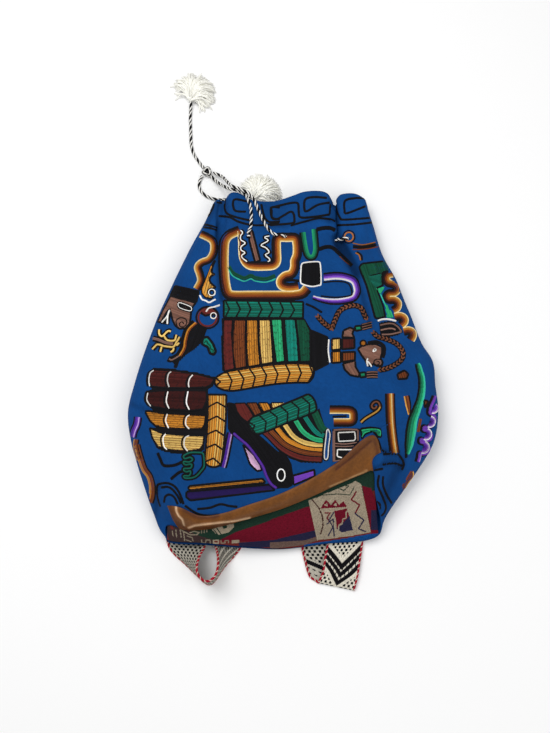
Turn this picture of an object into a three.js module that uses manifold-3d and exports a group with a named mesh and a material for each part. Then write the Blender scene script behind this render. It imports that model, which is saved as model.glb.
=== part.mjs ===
// Drawstring backpack of embroidered cloth, lying on its back.
// Millimetres. Seen from above, +X is to the right and +Y runs from the base to the mouth. +Z is up.
import * as THREE from "three";
import { mergeVertices } from "three/addons/utils/BufferGeometryUtils.js";
import Module from "manifold-3d";

const wasm = await Module();
wasm.setup();

const CLOTH = 2.0;
const LEATHER = 1.6;
const STRAP = 1.8;
const GAP = 0.4;
const CORD_RADIUS = 2.3;
const CORD_SIDES = 8;

// Small steps for the slope of a surface: in degrees round the bag, and in shares of a length. Points of one
// solid that lie closer than the weld are one point.
const NUDGE_ANGLE = 0.6;
const NUDGE_V = 0.004;
const NUDGE = 0.01;
const WELD = 1e-4;

// Sections of the bag: side edges in plan, height of the front in the middle, height of the side edge.
const SECTIONS = [
  { y: -240, left: -165, right: 138, top: 84, edge: 20 },
  { y: -204, left: -185, right: 150, top: 88, edge: 21 },
  { y: -165, left: -199, right: 170, top: 90, edge: 24 },
  { y: -125, left: -212, right: 197, top: 91, edge: 27 },
  { y: -85, left: -225, right: 223, top: 91, edge: 29 },
  { y: -40, left: -231, right: 231, top: 90, edge: 30 },
  { y: 0, left: -223, right: 228, top: 88, edge: 30 },
  { y: 37, left: -213, right: 225, top: 86, edge: 30 },
  { y: 65, left: -204, right: 209, top: 83, edge: 29 },
  { y: 110, left: -188, right: 193, top: 78, edge: 28 },
  { y: 158, left: -168, right: 171, top: 71, edge: 26 },
  { y: 205, left: -147, right: 152, top: 63, edge: 24 },
  { y: 255, left: -122, right: 139, top: 56, edge: 22 },
  { y: 302, left: -102, right: 126, top: 51, edge: 20 },
];
const FRONT_ROUND = 0.85;
const BACK_ROUND = 0.5;
const BACK_HEIGHT = 2.5;
// Valleys and pleats fade out over the last part of the turn toward the side edges.
const FOLD_FADE = 2.5;

// The base seam, and the shoulder ring about 35 mm up the wall. Angle 0 is the right edge, 90 the front.
const BASE_RINGS = [
  { angle: 0, seam: [144, -201, 26], shoulder: [158, -178, 26] },
  { angle: 14, seam: [134, -161, 50], shoulder: [151, -140, 52] },
  { angle: 25, seam: [130, -130, 66], shoulder: [140, -106, 74] },
  { angle: 36, seam: [112, -134, 65], shoulder: [121, -83, 87] },
  { angle: 50, seam: [82, -146, 61], shoulder: [79, -116, 82] },
  { angle: 66, seam: [40, -165, 55], shoulder: [35, -143, 77] },
  { angle: 82, seam: [0, -181, 48], shoulder: [-8, -163, 71] },
  { angle: 98, seam: [-40, -193, 42], shoulder: [-50, -177, 66] },
  { angle: 114, seam: [-80, -204, 37], shoulder: [-88, -189, 61] },
  { angle: 130, seam: [-112, -211, 34], shoulder: [-120, -192, 59] },
  { angle: 144, seam: [-143, -212, 32], shoulder: [-150, -180, 60] },
  { angle: 155, seam: [-163, -206, 32], shoulder: [-170, -178, 50] },
  { angle: 167, seam: [-172, -208, 29], shoulder: [-182, -184, 35] },
  { angle: 180, seam: [-172, -222, 25], shoulder: [-185, -203, 21] },
  { angle: 195, seam: [-165, -231, 24], shoulder: [-165, -203, 12] },
  { angle: 215, seam: [-115, -234, 23.5], shoulder: [-115, -200, 10] },
  { angle: 240, seam: [-61, -238, 18], shoulder: [-61, -203, 8] },
  { angle: 270, seam: [0, -240, 8], shoulder: [0, -205, 4.5] },
  { angle: 300, seam: [67, -232, 7], shoulder: [67, -200, 4.5] },
  { angle: 330, seam: [120, -228, 7.5], shoulder: [120, -195, 5] },
  { angle: 346, seam: [142, -219, 12], shoulder: [148, -193, 10] },
];
const SHOULDER_AT = 0.075;
const LOFT_FROM = 0.22;
const WALL_ROWS = [0, SHOULDER_AT / 2, SHOULDER_AT];

// The front edge of the mouth, from the left side to the right, and the flat back edge. The edge turns from
// the front to the back within a share of the section's depth.
const MOUTH = { middle: 11.5, half: 115.5, back: 274, turnWithin: 0.5 };
const MOUTH_EDGE = [
  { x: -104, y: 289 },
  { x: -95, y: 293 },
  { x: -89, y: 292 },
  { x: -82, y: 299.5 },
  { x: -72, y: 300 },
  { x: -61, y: 295 },
  { x: -51, y: 288 },
  { x: -37, y: 285 },
  { x: -22, y: 284 },
  { x: -6, y: 285 },
  { x: 14, y: 291 },
  { x: 33, y: 298 },
  { x: 56, y: 300 },
  { x: 68, y: 296 },
  { x: 74, y: 287 },
  { x: 78, y: 282 },
  { x: 82, y: 290 },
  { x: 90, y: 296 },
  { x: 112, y: 299 },
  { x: 127, y: 293 },
];

// Valleys pressed into the front: points in plan with the width and depth there.
const VALLEYS = [
  [
    { x: -90, y: 310, width: 6, depth: 11 },
    { x: -91, y: 265, width: 6, depth: 10 },
    { x: -95, y: 225, width: 8, depth: 6 },
    { x: -98, y: 195, width: 9, depth: 0 },
  ],
  [
    { x: -24, y: 310, width: 32, depth: 8 },
    { x: -22, y: 262, width: 30, depth: 6 },
    { x: -16, y: 215, width: 28, depth: 0 },
  ],
  [
    { x: 78, y: 310, width: 6, depth: 15 },
    { x: 79, y: 262, width: 6, depth: 14 },
    { x: 82, y: 228, width: 7, depth: 13 },
    { x: 96, y: 200, width: 9, depth: 11 },
    { x: 107, y: 176, width: 11, depth: 6 },
    { x: 118, y: 150, width: 12, depth: 0 },
  ],
  [
    { x: 150, y: -60, width: 9, depth: 0 },
    { x: 146, y: -92, width: 8, depth: 6 },
    { x: 154, y: -118, width: 9, depth: 7 },
    { x: 176, y: -128, width: 10, depth: 0 },
  ],
  [
    { x: -150, y: -120, width: 14, depth: 0 },
    { x: -143, y: -150, width: 13, depth: 5 },
    { x: -112, y: -168, width: 12, depth: 6 },
    { x: -60, y: -158, width: 14, depth: 0 },
  ],
];

// Pleats pushed up into the back of the neck.
const BACK_PLEATS = [
  { x: -62, width: 9, height: 9 },
  { x: 4, width: 10, height: 11 },
  { x: 70, width: 9, height: 8 },
];
const PLEAT_FROM = 150;

const BODY_FRONT_COLUMNS = 42;
const BODY_BACK_COLUMNS = 22;
const BODY_ROWS = 19;

// Base panel: a plug just inside the tube, bulged outward in the middle.
const PLUG_DEPTH = 0.004;
const PLUG_GAP = 2;
const PLUG = { frontLeft: 163, backLeft: 190, frontRight: 18, backRight: 346 };
const PANEL = { bulge: 5, columns: 26, rows: 6 };

// Leather strip: the columns of the bag's grid that it runs between, over the wall below the shoulder.
const TRIM = { firstColumn: 6, lastColumn: 37 };

// Straps by sections: the two edges of the band, from the sewn end to the top of the back.
const STRAP_LEFT = [
  { outer: [-171, -212, 0.9], inner: [-114, -212, 3] },
  { outer: [-171, -231, 0.9], inner: [-115, -234, 14] },
  { outer: [-163, -245, 0.9], inner: [-121, -249, 35] },
  { outer: [-144, -262, 0.9], inner: [-124, -263, 49] },
  { outer: [-128, -277, 0.9], inner: [-122.5, -274, 54] },
  { outer: [-116, -288, 0.9], inner: [-115, -283, 55] },
  { outer: [-108, -291, 0.9], inner: [-108.5, -285, 55] },
  { outer: [-101, -286, 0.9], inner: [-102, -282, 55] },
  { outer: [-93, -274, 0.9], inner: [-96, -274, 54] },
  { outer: [-84, -262, 0.9], inner: [-94, -263, 50] },
  { outer: [-73, -250, 0.9], inner: [-95, -249, 37] },
  { outer: [-62, -235, 0.9], inner: [-100, -234, 15] },
  { outer: [-57, -215, 0.9], inner: [-107, -215, 5] },
  { outer: [-56, -190, 0.9], inner: [-113, -190, 0.9] },
  { outer: [-56, -150, 0.9], inner: [-113, -150, 0.9] },
  { outer: [-48, 0, 0.9], inner: [-105, 0, 0.9] },
  { outer: [-6, 205, 0.9], inner: [-62, 205, 0.9] },
];
const STRAP_RIGHT = [
  { outer: [119, -218, 3.3], inner: [69, -222, 3.3] },
  { outer: [117, -232, 4.4], inner: [66, -236, 4.4] },
  { outer: [113, -256, 7.2], inner: [62, -254, 7.2] },
  { outer: [109, -279, 7.0], inner: [60, -270, 7.0] },
  { outer: [105.5, -293, 5.4], inner: [55, -283, 5.4] },
  { outer: [104, -298, 4.0], inner: [53, -287.5, 4.0] },
  { outer: [103.5, -299, 2.9], inner: [52, -288.5, 2.9] },
  { outer: [103, -298.2, 1.7], inner: [51, -287.8, 1.7] },
  { outer: [102, -295, 0.9], inner: [48, -285.5, 0.9] },
  { outer: [98, -282, 0.9], inner: [40, -280, 0.9] },
  { outer: [92, -262, 0.9], inner: [34, -262, 0.9] },
  { outer: [87, -238, 0.9], inner: [29, -238, 0.9] },
  { outer: [85, -150, 0.9], inner: [28, -150, 0.9] },
  { outer: [80, 0, 0.9], inner: [23, 0, 0.9] },
  { outer: [64, 205, 0.9], inner: [7, 205, 0.9] },
];
const STRAP_ACROSS = 3;

// The cord inside the neck, by angle round it. Side 1 is outside the cloth and -1 inside.
const NECK_Y = 224;
const NECK_TURNS = [
  { angle: 93, side: 1 },
  { angle: 90, side: 1 },
  { angle: 80, side: -1 },
  { angle: 70, side: -1 },
  { angle: 60, side: 1 },
  { angle: 46, side: 1 },
  { angle: 34, side: -1 },
  { angle: -224, side: -1 },
  { angle: -236, side: -1 },
  { angle: -246, side: 1 },
  { angle: -248, side: 1 },
];
const NECK_STEPS = 50;
const CORD_LIFT = 1.2;

// Cord stretches. A row without z lies on the cloth of the bag.
const LEAD_RIGHT = [
  { x: -8, y: 225.5 },
  { x: -17, y: 230 },
  { x: -26, y: 243 },
  { x: -35, y: 263 },
  { x: -41, y: 278 },
  { x: -47, y: 290, z: 50 },
  { x: -56, y: 297, z: 52.5 },
  { x: -68, y: 303, z: 51.5 },
  { x: -80, y: 308, z: 46 },
  { x: -90, y: 319, z: 31 },
  { x: -99, y: 333, z: 15 },
  { x: -109.1, y: 344.7, z: 7.8 },
];
const LEAD_LEFT = [
  { x: -53, y: 228.5 },
  { x: -49, y: 240 },
  { x: -48, y: 255 },
  { x: -49, y: 272 },
  { x: -53, y: 285.5 },
  { x: -58, y: 295, z: 46.2 },
  { x: -69, y: 302, z: 44.5 },
  { x: -82, y: 307, z: 38 },
  { x: -94, y: 318, z: 24 },
  { x: -104, y: 329, z: 11 },
  { x: -113.4, y: 340.2, z: 5.6 },
];
const TAIL_LONG = [
  { x: -124.9, y: 354, z: 4.1 },
  { x: -130, y: 361, z: 2.7 },
  { x: -140, y: 376, z: 2.5 },
  { x: -145, y: 391, z: 2.5 },
  { x: -146.5, y: 415, z: 2.5 },
  { x: -147.5, y: 440, z: 2.5 },
  { x: -146.3, y: 465.1, z: 6.1 },
];
const TAIL_SHORT = [
  { x: -126.8, y: 341.3, z: 3.6 },
  { x: -130.5, y: 335, z: 2.6 },
  { x: -132, y: 325, z: 2.5 },
  { x: -128, y: 315, z: 2.5 },
  { x: -118, y: 307, z: 2.5 },
  { x: -104, y: 302.5, z: 2.5 },
  { x: -86, y: 302, z: 2.5 },
  { x: -66, y: 303, z: 3.2 },
  { x: -49.8, y: 303.7, z: 6.5 },
];
const CORD_STEP = 8;

// The knot: a lump of three round coils fused together.
const BALL_RINGS = 6;
const KNOT_COILS = [
  { at: [-116, 346, 6.2], radii: [6.5, 5, 5.2] },
  { at: [-121, 350.5, 5.6], radii: [5.5, 4.6, 4.8] },
  { at: [-121.5, 343.5, 5.2], radii: [5.2, 5, 4.6] },
];

// Tassels: a head and a fan of locks that bow down to the floor. The outer locks of the fan are shorter
// and lower, and every other lock lies flat. A lock's stations are shares of its length.
const TASSEL = { head: 6.5, locks: 8, length: 41, spread: 150, thick: 7.5, arch: 19, sides: 6, steps: 4 };
const LOCK = { outerLength: 0.72, outerArch: 0.4, flatArch: 0.25, root: 0.55, tipFrom: 0.1, tipTo: 0.88 };
const LOCK_STATIONS = [0, 0.35, 0.7, 1];
const LOCK_LANDING = 1.1;
const TASSEL_SHORT = { at: [-43, 304, 8], toward: 36 };
const TASSEL_LONG = { at: [-146, 472, 7.2], toward: 58 };

const MATERIALS = {
  cloth_blue: { color: 0x1b4fa3, roughness: 0.9, metalness: 0 },
  woven_base: { color: 0x7a1830, roughness: 0.9, metalness: 0 },
  leather_brown: { color: 0x8a5a2b, roughness: 0.55, metalness: 0 },
  woven_strap: { color: 0xcfc7b4, roughness: 0.9, metalness: 0 },
  cord_braid: { color: 0x55534f, roughness: 0.85, metalness: 0 },
  wool_white: { color: 0xf1ecdc, roughness: 0.95, metalness: 0 },
};

const radians = (degrees) => (degrees * Math.PI) / 180;
const mix = (a, b, t) => a + (b - a) * t;
const clamp01 = (t) => Math.min(1, Math.max(0, t));
const ease = (t) => clamp01(t) * clamp01(t) * (3 - 2 * clamp01(t));

// Smooth curve through the rows of a table, read at one value of its key column.
function reader(keys, values) {
  const last = keys.length - 1;
  const slope = keys.map((key, i) => {
    const a = Math.max(0, i - 1);
    const b = Math.min(last, i + 1);
    return (values[b] - values[a]) / (keys[b] - keys[a]);
  });
  return (at) => {
    const k = Math.min(keys[last], Math.max(keys[0], at));
    let i = 0;
    while (i < last - 1 && k > keys[i + 1]) i += 1;
    const span = keys[i + 1] - keys[i];
    const t = (k - keys[i]) / span;
    const t2 = t * t;
    const t3 = t2 * t;
    return (
      (2 * t3 - 3 * t2 + 1) * values[i] +
      (t3 - 2 * t2 + t) * span * slope[i] +
      (3 * t2 - 2 * t3) * values[i + 1] +
      (t3 - t2) * span * slope[i + 1]
    );
  };
}

function column(rows, key, name) {
  return reader(rows.map((row) => row[key]), rows.map((row) => row[name]));
}

const sectionLeft = column(SECTIONS, "y", "left");
const sectionRight = column(SECTIONS, "y", "right");
const sectionTop = column(SECTIONS, "y", "top");
const sectionEdge = column(SECTIONS, "y", "edge");
const mouthEdge = column(MOUTH_EDGE, "x", "y");

// A closed ring of the base table, readable at any angle.
function ringReader(name) {
  const before = BASE_RINGS.slice(-3).map((row) => ({ angle: row.angle - 360, at: row[name] }));
  const round = BASE_RINGS.map((row) => ({ angle: row.angle, at: row[name] }));
  const after = BASE_RINGS.slice(0, 3).map((row) => ({ angle: row.angle + 360, at: row[name] }));
  const rows = [...before, ...round, ...after];
  const axes = [0, 1, 2].map((axis) => reader(rows.map((r) => r.angle), rows.map((r) => r.at[axis])));
  return (angle) => {
    const turned = ((angle % 360) + 360) % 360;
    return new THREE.Vector3(axes[0](turned), axes[1](turned), axes[2](turned));
  };
}

const seamAt = ringReader("seam");
const shoulderAt = ringReader("shoulder");

// Depth of the valleys at a point in plan.
function valleyDepth(x, y) {
  let depth = 0;
  for (const valley of VALLEYS) {
    for (let i = 0; i + 1 < valley.length; i += 1) {
      const a = valley[i];
      const b = valley[i + 1];
      const run = [b.x - a.x, b.y - a.y];
      const t = clamp01(((x - a.x) * run[0] + (y - a.y) * run[1]) / (run[0] ** 2 + run[1] ** 2));
      const away = Math.hypot(x - a.x - run[0] * t, y - a.y - run[1] * t);
      const pressed = mix(a.depth, b.depth, t) * Math.exp(-((away / mix(a.width, b.width, t)) ** 2));
      depth = Math.max(depth, pressed);
    }
  }
  return depth;
}

function pleatHeight(x, y) {
  const rise = ease((y - PLEAT_FROM) / (MOUTH.back - PLEAT_FROM));
  return BACK_PLEATS.reduce((sum, p) => sum + p.height * rise * Math.exp(-(((x - p.x) / p.width) ** 2)), 0);
}

// A point of the bag's section at height y along it.
function sectionPoint(angle, y) {
  const turn = radians(angle);
  const left = sectionLeft(y);
  const right = sectionRight(y);
  const edge = sectionEdge(y);
  const x = (left + right) / 2 + ((right - left) / 2) * Math.cos(turn);
  const rise = Math.sin(turn);
  if (rise >= 0) {
    const z = edge + (sectionTop(y) - edge) * rise ** FRONT_ROUND;
    return new THREE.Vector3(x, y, z - valleyDepth(x, y) * clamp01(rise * FOLD_FADE));
  }
  const low = edge - (edge - BACK_HEIGHT) * (-rise) ** BACK_ROUND;
  return new THREE.Vector3(x, y, low + pleatHeight(x, y) * clamp01(-rise * FOLD_FADE));
}

function mouthY(angle) {
  const front = mouthEdge(MOUTH.middle + MOUTH.half * Math.cos(radians(angle)));
  return mix(front, MOUTH.back, ease(-Math.sin(radians(angle)) / MOUTH.turnWithin));
}

function catmull(a, b, c, d, t) {
  return new THREE.Vector3(
    ...["x", "y", "z"].map((axis) => {
      const pull = -a[axis] + 3 * b[axis] - 3 * c[axis] + d[axis];
      const bend = 2 * a[axis] - 5 * b[axis] + 4 * c[axis] - d[axis];
      return 0.5 * (2 * b[axis] + (c[axis] - a[axis]) * t + bend * t * t + pull * t * t * t);
    }),
  );
}

// The outer face of the bag: angle round it, and v from the base seam (0) to the mouth (1).
function bodyPoint(angle, v) {
  const seam = seamAt(angle);
  const upper = (w) => sectionPoint(angle, mix(seam.y, mouthY(angle), w));
  if (v >= LOFT_FROM) return upper(v);
  const shoulder = shoulderAt(angle);
  const joined = upper(LOFT_FROM);
  if (v < SHOULDER_AT) {
    const below = seam.clone().multiplyScalar(2).sub(shoulder);
    return catmull(below, seam, shoulder, joined, v / SHOULDER_AT);
  }
  const beyond = upper(2 * LOFT_FROM - SHOULDER_AT);
  return catmull(seam, shoulder, joined, beyond, (v - SHOULDER_AT) / (LOFT_FROM - SHOULDER_AT));
}

function bodyNormal(angle, v) {
  const around = bodyPoint(angle + NUDGE_ANGLE, v).sub(bodyPoint(angle - NUDGE_ANGLE, v));
  const high = Math.min(1, v + NUDGE_V);
  const low = Math.max(0, v - NUDGE_V);
  const along = bodyPoint(angle, high).sub(bodyPoint(angle, low));
  return along.cross(around).normalize();
}

function bodyOffset(angle, v, distance) {
  return bodyPoint(angle, v).addScaledVector(bodyNormal(angle, v), distance);
}

// Height of the front cloth at a point in plan, away from the base and the mouth edge.
function clothHeight(x, y) {
  const left = sectionLeft(y);
  const right = sectionRight(y);
  const across = (x - (left + right) / 2) / ((right - left) / 2);
  const angle = THREE.MathUtils.radToDeg(Math.acos(Math.max(-1, Math.min(1, across))));
  return sectionPoint(angle, y).z;
}

function meshGeometry(points, triangles) {
  const geometry = new THREE.BufferGeometry();
  const flat = points.flatMap((p) => [p.x, p.y, p.z]);
  geometry.setAttribute("position", new THREE.Float32BufferAttribute(flat, 3));
  geometry.setIndex(triangles.flat());
  return geometry;
}

function quad(a, b, c, d) {
  return [[a, b, c], [a, c, d]];
}

// A sheet with thickness, from two grids of points of the same size, outer and inner.
function sheetGeometry(outer, inner, wraps) {
  const rows = outer.length;
  const cols = outer[0].length;
  const points = [...outer.flat(), ...inner.flat()];
  const front = (i, j) => i * cols + (j % cols);
  const back = (i, j) => rows * cols + front(i, j);
  const triangles = [];
  const steps = wraps ? cols : cols - 1;
  for (let j = 0; j < steps; j += 1) {
    for (let i = 0; i + 1 < rows; i += 1) {
      triangles.push(...quad(front(i, j), front(i + 1, j), front(i + 1, j + 1), front(i, j + 1)));
      triangles.push(...quad(back(i, j), back(i, j + 1), back(i + 1, j + 1), back(i + 1, j)));
    }
    triangles.push(...quad(front(0, j), front(0, j + 1), back(0, j + 1), back(0, j)));
    const top = rows - 1;
    triangles.push(...quad(front(top, j), back(top, j), back(top, j + 1), front(top, j + 1)));
  }
  if (!wraps) {
    for (let i = 0; i + 1 < rows; i += 1) {
      triangles.push(...quad(front(i, 0), back(i, 0), back(i + 1, 0), front(i + 1, 0)));
      const end = cols - 1;
      triangles.push(...quad(front(i, end), front(i + 1, end), back(i + 1, end), back(i, end)));
    }
  }
  return meshGeometry(points, triangles);
}

// A round rod along a curve, with the radius given at each step, closed by flat ends.
function rodGeometry(curve, radiusAt, steps, sides) {
  const frames = curve.computeFrenetFrames(steps, false);
  const points = [];
  for (let i = 0; i <= steps; i += 1) {
    const centre = curve.getPointAt(i / steps);
    for (let k = 0; k < sides; k += 1) {
      const turn = (2 * Math.PI * k) / sides;
      const out = frames.normals[i].clone().multiplyScalar(Math.cos(turn));
      out.addScaledVector(frames.binormals[i], Math.sin(turn));
      points.push(centre.clone().addScaledVector(out, radiusAt(i / steps)));
    }
  }
  const triangles = [];
  for (let i = 0; i < steps; i += 1) {
    for (let k = 0; k < sides; k += 1) {
      const next = (k + 1) % sides;
      const low = i * sides;
      const high = low + sides;
      triangles.push(...quad(low + k, low + next, high + next, high + k));
    }
  }
  const end = steps * sides;
  for (let k = 1; k + 1 < sides; k += 1) {
    triangles.push([0, k + 1, k]);
    triangles.push([end, end + k, end + k + 1]);
  }
  return meshGeometry(points, triangles);
}

function solidOf(geometry) {
  const bare = geometry.clone();
  bare.deleteAttribute("normal");
  bare.deleteAttribute("uv");
  const merged = mergeVertices(bare, WELD);
  return new wasm.Manifold(
    new wasm.Mesh({
      numProp: 3,
      vertProperties: new Float32Array(merged.attributes.position.array),
      triVerts: new Uint32Array(merged.index.array),
    }),
  );
}

function geometryOf(solid) {
  const mesh = solid.getMesh();
  const geometry = new THREE.BufferGeometry();
  geometry.setAttribute("position", new THREE.Float32BufferAttribute(Array.from(mesh.vertProperties), 3));
  geometry.setIndex(Array.from(mesh.triVerts));
  return geometry;
}

function fused(geometries) {
  return geometryOf(geometries.map(solidOf).reduce((sum, solid) => sum.add(solid)));
}

function curveOf(points) {
  return new THREE.CatmullRomCurve3(points, false, "centripetal");
}

// The neck cord: inside the cloth, and outside where it comes through the slits.
function neckCurve() {
  const keys = NECK_TURNS.map((turn) => -turn.angle);
  const sides = NECK_TURNS.map((turn) => turn.side);
  const outside = CORD_RADIUS + CORD_LIFT;
  const inside = -(CLOTH + CORD_RADIUS + CORD_LIFT);
  const points = [];
  for (let i = 0; i <= NECK_STEPS; i += 1) {
    const key = mix(keys[0], keys[keys.length - 1], i / NECK_STEPS);
    let k = 0;
    while (k < keys.length - 2 && key > keys[k + 1]) k += 1;
    const share = ease((key - keys[k]) / (keys[k + 1] - keys[k]));
    const side = mix(sides[k], sides[k + 1], share);
    const angle = -key;
    const seamY = seamAt(angle).y;
    const v = (NECK_Y - seamY) / (mouthY(angle) - seamY);
    points.push(bodyOffset(angle, v, mix(inside, outside, (side + 1) / 2)));
  }
  return curveOf(points);
}

function bodyAngles() {
  const angles = [];
  for (let j = 0; j < BODY_FRONT_COLUMNS; j += 1) angles.push((180 * j) / BODY_FRONT_COLUMNS);
  for (let j = 0; j < BODY_BACK_COLUMNS; j += 1) angles.push(180 + (180 * j) / BODY_BACK_COLUMNS);
  return angles;
}

function bodyGeometry(neck) {
  const angles = bodyAngles();
  const rows = [...WALL_ROWS];
  for (let i = 1; i <= BODY_ROWS; i += 1) rows.push(mix(SHOULDER_AT, 1, i / BODY_ROWS));
  const outer = rows.map((v) => angles.map((angle) => bodyPoint(angle, v)));
  const inner = rows.map((v) => angles.map((angle) => bodyOffset(angle, v, -CLOTH)));
  const tube = solidOf(sheetGeometry(outer, inner, true));
  const slit = rodGeometry(neck, () => CORD_RADIUS + GAP, NECK_STEPS, CORD_SIDES);
  return geometryOf(tube.subtract(solidOf(slit)));
}

// The base panel: spanned between the front and the back of the plug's outline.
function baseGeometry() {
  const rim = (angle) => bodyOffset(angle, PLUG_DEPTH, -(CLOTH + PLUG_GAP));
  const spanned = (t, s) => {
    const front = rim(mix(PLUG.frontLeft, PLUG.frontRight, t));
    return front.lerp(rim(mix(PLUG.backLeft, PLUG.backRight, t)), s);
  };
  const faceAt = (t, s) => {
    const across = spanned(Math.min(1, t + NUDGE), s).sub(spanned(Math.max(0, t - NUDGE), s));
    const down = spanned(t, Math.min(1, s + NUDGE)).sub(spanned(t, Math.max(0, s - NUDGE)));
    return down.cross(across).normalize();
  };
  const outer = [];
  const inner = [];
  for (let i = 0; i <= PANEL.rows; i += 1) {
    const s = i / PANEL.rows;
    const pairs = [];
    for (let j = 0; j <= PANEL.columns; j += 1) {
      const t = j / PANEL.columns;
      const face = faceAt(t, s);
      const swell = PANEL.bulge * (Math.sin(Math.PI * t) * Math.sin(Math.PI * s)) ** 2;
      const point = spanned(t, s);
      const above = point.clone().addScaledVector(face, swell + CLOTH * s);
      pairs.push([above, point.addScaledVector(face, swell - CLOTH * (1 - s))]);
    }
    outer.push(pairs.map((pair) => pair[0]));
    inner.push(pairs.map((pair) => pair[1]));
  }
  return sheetGeometry(outer, inner, false);
}

function trimGeometry() {
  const columns = bodyAngles().slice(TRIM.firstColumn, TRIM.lastColumn + 1);
  const layer = (distance) => WALL_ROWS.map((v) => columns.map((angle) => bodyOffset(angle, v, distance)));
  return sheetGeometry(layer(GAP + LEATHER), layer(GAP), false);
}

// A strap: its two edges, split across, with half the thickness on either side.
function strapGeometry(rows) {
  const along = rows.map((row) => ({
    outer: new THREE.Vector3(...row.outer),
    inner: new THREE.Vector3(...row.inner),
  }));
  const at = (i, t) => along[i].outer.clone().lerp(along[i].inner, t);
  const sides = [STRAP / 2, -STRAP / 2].map((distance) =>
    along.map((row, i) => {
      const points = [];
      for (let k = 0; k <= STRAP_ACROSS; k += 1) {
        const t = k / STRAP_ACROSS;
        const run = at(Math.min(along.length - 1, i + 1), t).sub(at(Math.max(0, i - 1), t));
        const face = run.cross(row.inner.clone().sub(row.outer)).normalize();
        points.push(at(i, t).addScaledVector(face, distance));
      }
      return points;
    }),
  );
  return sheetGeometry(sides[0], sides[1], false);
}

function cordGeometry(rows) {
  const seated = (row) => clothHeight(row.x, row.y) + CORD_RADIUS + CORD_LIFT;
  const points = rows.map((row) => new THREE.Vector3(row.x, row.y, row.z ?? seated(row)));
  const curve = curveOf(points);
  const steps = Math.round(curve.getLength() / CORD_STEP);
  return rodGeometry(curve, () => CORD_RADIUS, steps, CORD_SIDES);
}

function ballGeometry(at, radii) {
  return new THREE.SphereGeometry(1, 2 * BALL_RINGS, BALL_RINGS).scale(...radii).translate(...at);
}

function tasselGeometry(place) {
  const [x, y, z] = place.at;
  const girth = (t) => TASSEL.thick * mix(LOCK.root, 1, Math.sin(Math.PI * mix(LOCK.tipFrom, LOCK.tipTo, t)));
  const solids = [ballGeometry(place.at, [TASSEL.head, TASSEL.head, TASSEL.head])];
  for (let i = 0; i < TASSEL.locks; i += 1) {
    const share = i / (TASSEL.locks - 1);
    const turn = radians(place.toward + TASSEL.spread * (share - 0.5));
    const inner = Math.sin(Math.PI * share);
    const reach = TASSEL.length * mix(LOCK.outerLength, 1, inner);
    const arch = TASSEL.arch * mix(LOCK.flatArch, 1, i % 2) * mix(LOCK.outerArch, 1, inner);
    const path = LOCK_STATIONS.map((t) => {
      const rest = mix(z, girth(t) + GAP, ease(t * 2));
      const lift = arch * Math.sin(Math.PI * Math.min(1, t * LOCK_LANDING));
      return new THREE.Vector3(x + Math.cos(turn) * reach * t, y + Math.sin(turn) * reach * t, rest + lift);
    });
    solids.push(rodGeometry(curveOf(path), girth, TASSEL.steps, TASSEL.sides));
  }
  return fused(solids);
}

const neck = neckCurve();
const PIECES = [
  ["bag_body", "cloth_blue", bodyGeometry(neck)],
  ["base_panel", "woven_base", baseGeometry()],
  ["base_trim", "leather_brown", trimGeometry()],
  ["strap_left", "woven_strap", strapGeometry(STRAP_LEFT)],
  ["strap_right", "woven_strap", strapGeometry(STRAP_RIGHT)],
  ["drawcord_neck", "cord_braid", rodGeometry(neck, () => CORD_RADIUS, NECK_STEPS, CORD_SIDES)],
  ["drawcord_lead_left", "cord_braid", cordGeometry(LEAD_LEFT)],
  ["drawcord_lead_right", "cord_braid", cordGeometry(LEAD_RIGHT)],
  ["drawcord_knot", "cord_braid", fused(KNOT_COILS.map((coil) => ballGeometry(coil.at, coil.radii)))],
  ["drawcord_tail_long", "cord_braid", cordGeometry(TAIL_LONG)],
  ["drawcord_tail_short", "cord_braid", cordGeometry(TAIL_SHORT)],
  ["tassel_long", "wool_white", tasselGeometry(TASSEL_LONG)],
  ["tassel_short", "wool_white", tasselGeometry(TASSEL_SHORT)],
];

const backpack = new THREE.Group();
backpack.name = "backpack";
for (const [name, slot, geometry] of PIECES) {
  const material = new THREE.MeshStandardMaterial(MATERIALS[slot]);
  material.name = slot;
  const mesh = new THREE.Mesh(geometry, material);
  mesh.name = name;
  backpack.add(mesh);
}

export default backpack;
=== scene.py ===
# Looks of an embroidered drawstring backpack that lies on its back.
# Lengths in the tables are millimetres, in the frame of the CAD model: +Y runs from the base to the mouth.
import math

import bpy
import numpy as np
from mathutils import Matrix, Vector
from mathutils.bvhtree import BVHTree


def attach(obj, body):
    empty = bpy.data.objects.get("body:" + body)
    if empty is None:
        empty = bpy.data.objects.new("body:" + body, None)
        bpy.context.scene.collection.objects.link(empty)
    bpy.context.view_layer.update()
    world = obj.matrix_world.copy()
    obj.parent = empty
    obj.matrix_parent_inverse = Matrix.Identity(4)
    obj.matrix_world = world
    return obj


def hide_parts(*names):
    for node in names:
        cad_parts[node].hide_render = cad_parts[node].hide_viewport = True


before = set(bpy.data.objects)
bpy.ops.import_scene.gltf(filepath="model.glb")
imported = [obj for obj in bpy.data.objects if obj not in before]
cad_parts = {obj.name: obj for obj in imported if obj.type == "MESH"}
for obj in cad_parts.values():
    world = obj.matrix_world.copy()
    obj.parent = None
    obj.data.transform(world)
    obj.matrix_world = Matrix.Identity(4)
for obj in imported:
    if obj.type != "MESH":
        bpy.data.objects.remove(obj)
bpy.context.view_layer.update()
MM = 0.001
rng = np.random.default_rng(11)

# Camera, as the photograph was taken: above the bag and a little toward its base.
PHOTO_WIDTH = 550
PHOTO_HEIGHT = 733
LENS = 50.0
SENSOR = 36.0
CAMERA_AT = np.array([-12.0, -235.4, 1536.9])
CAMERA_TILT = math.radians(10)
FOCAL_PX = LENS / SENSOR * PHOTO_HEIGHT
PX_MM = 1.45

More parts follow.
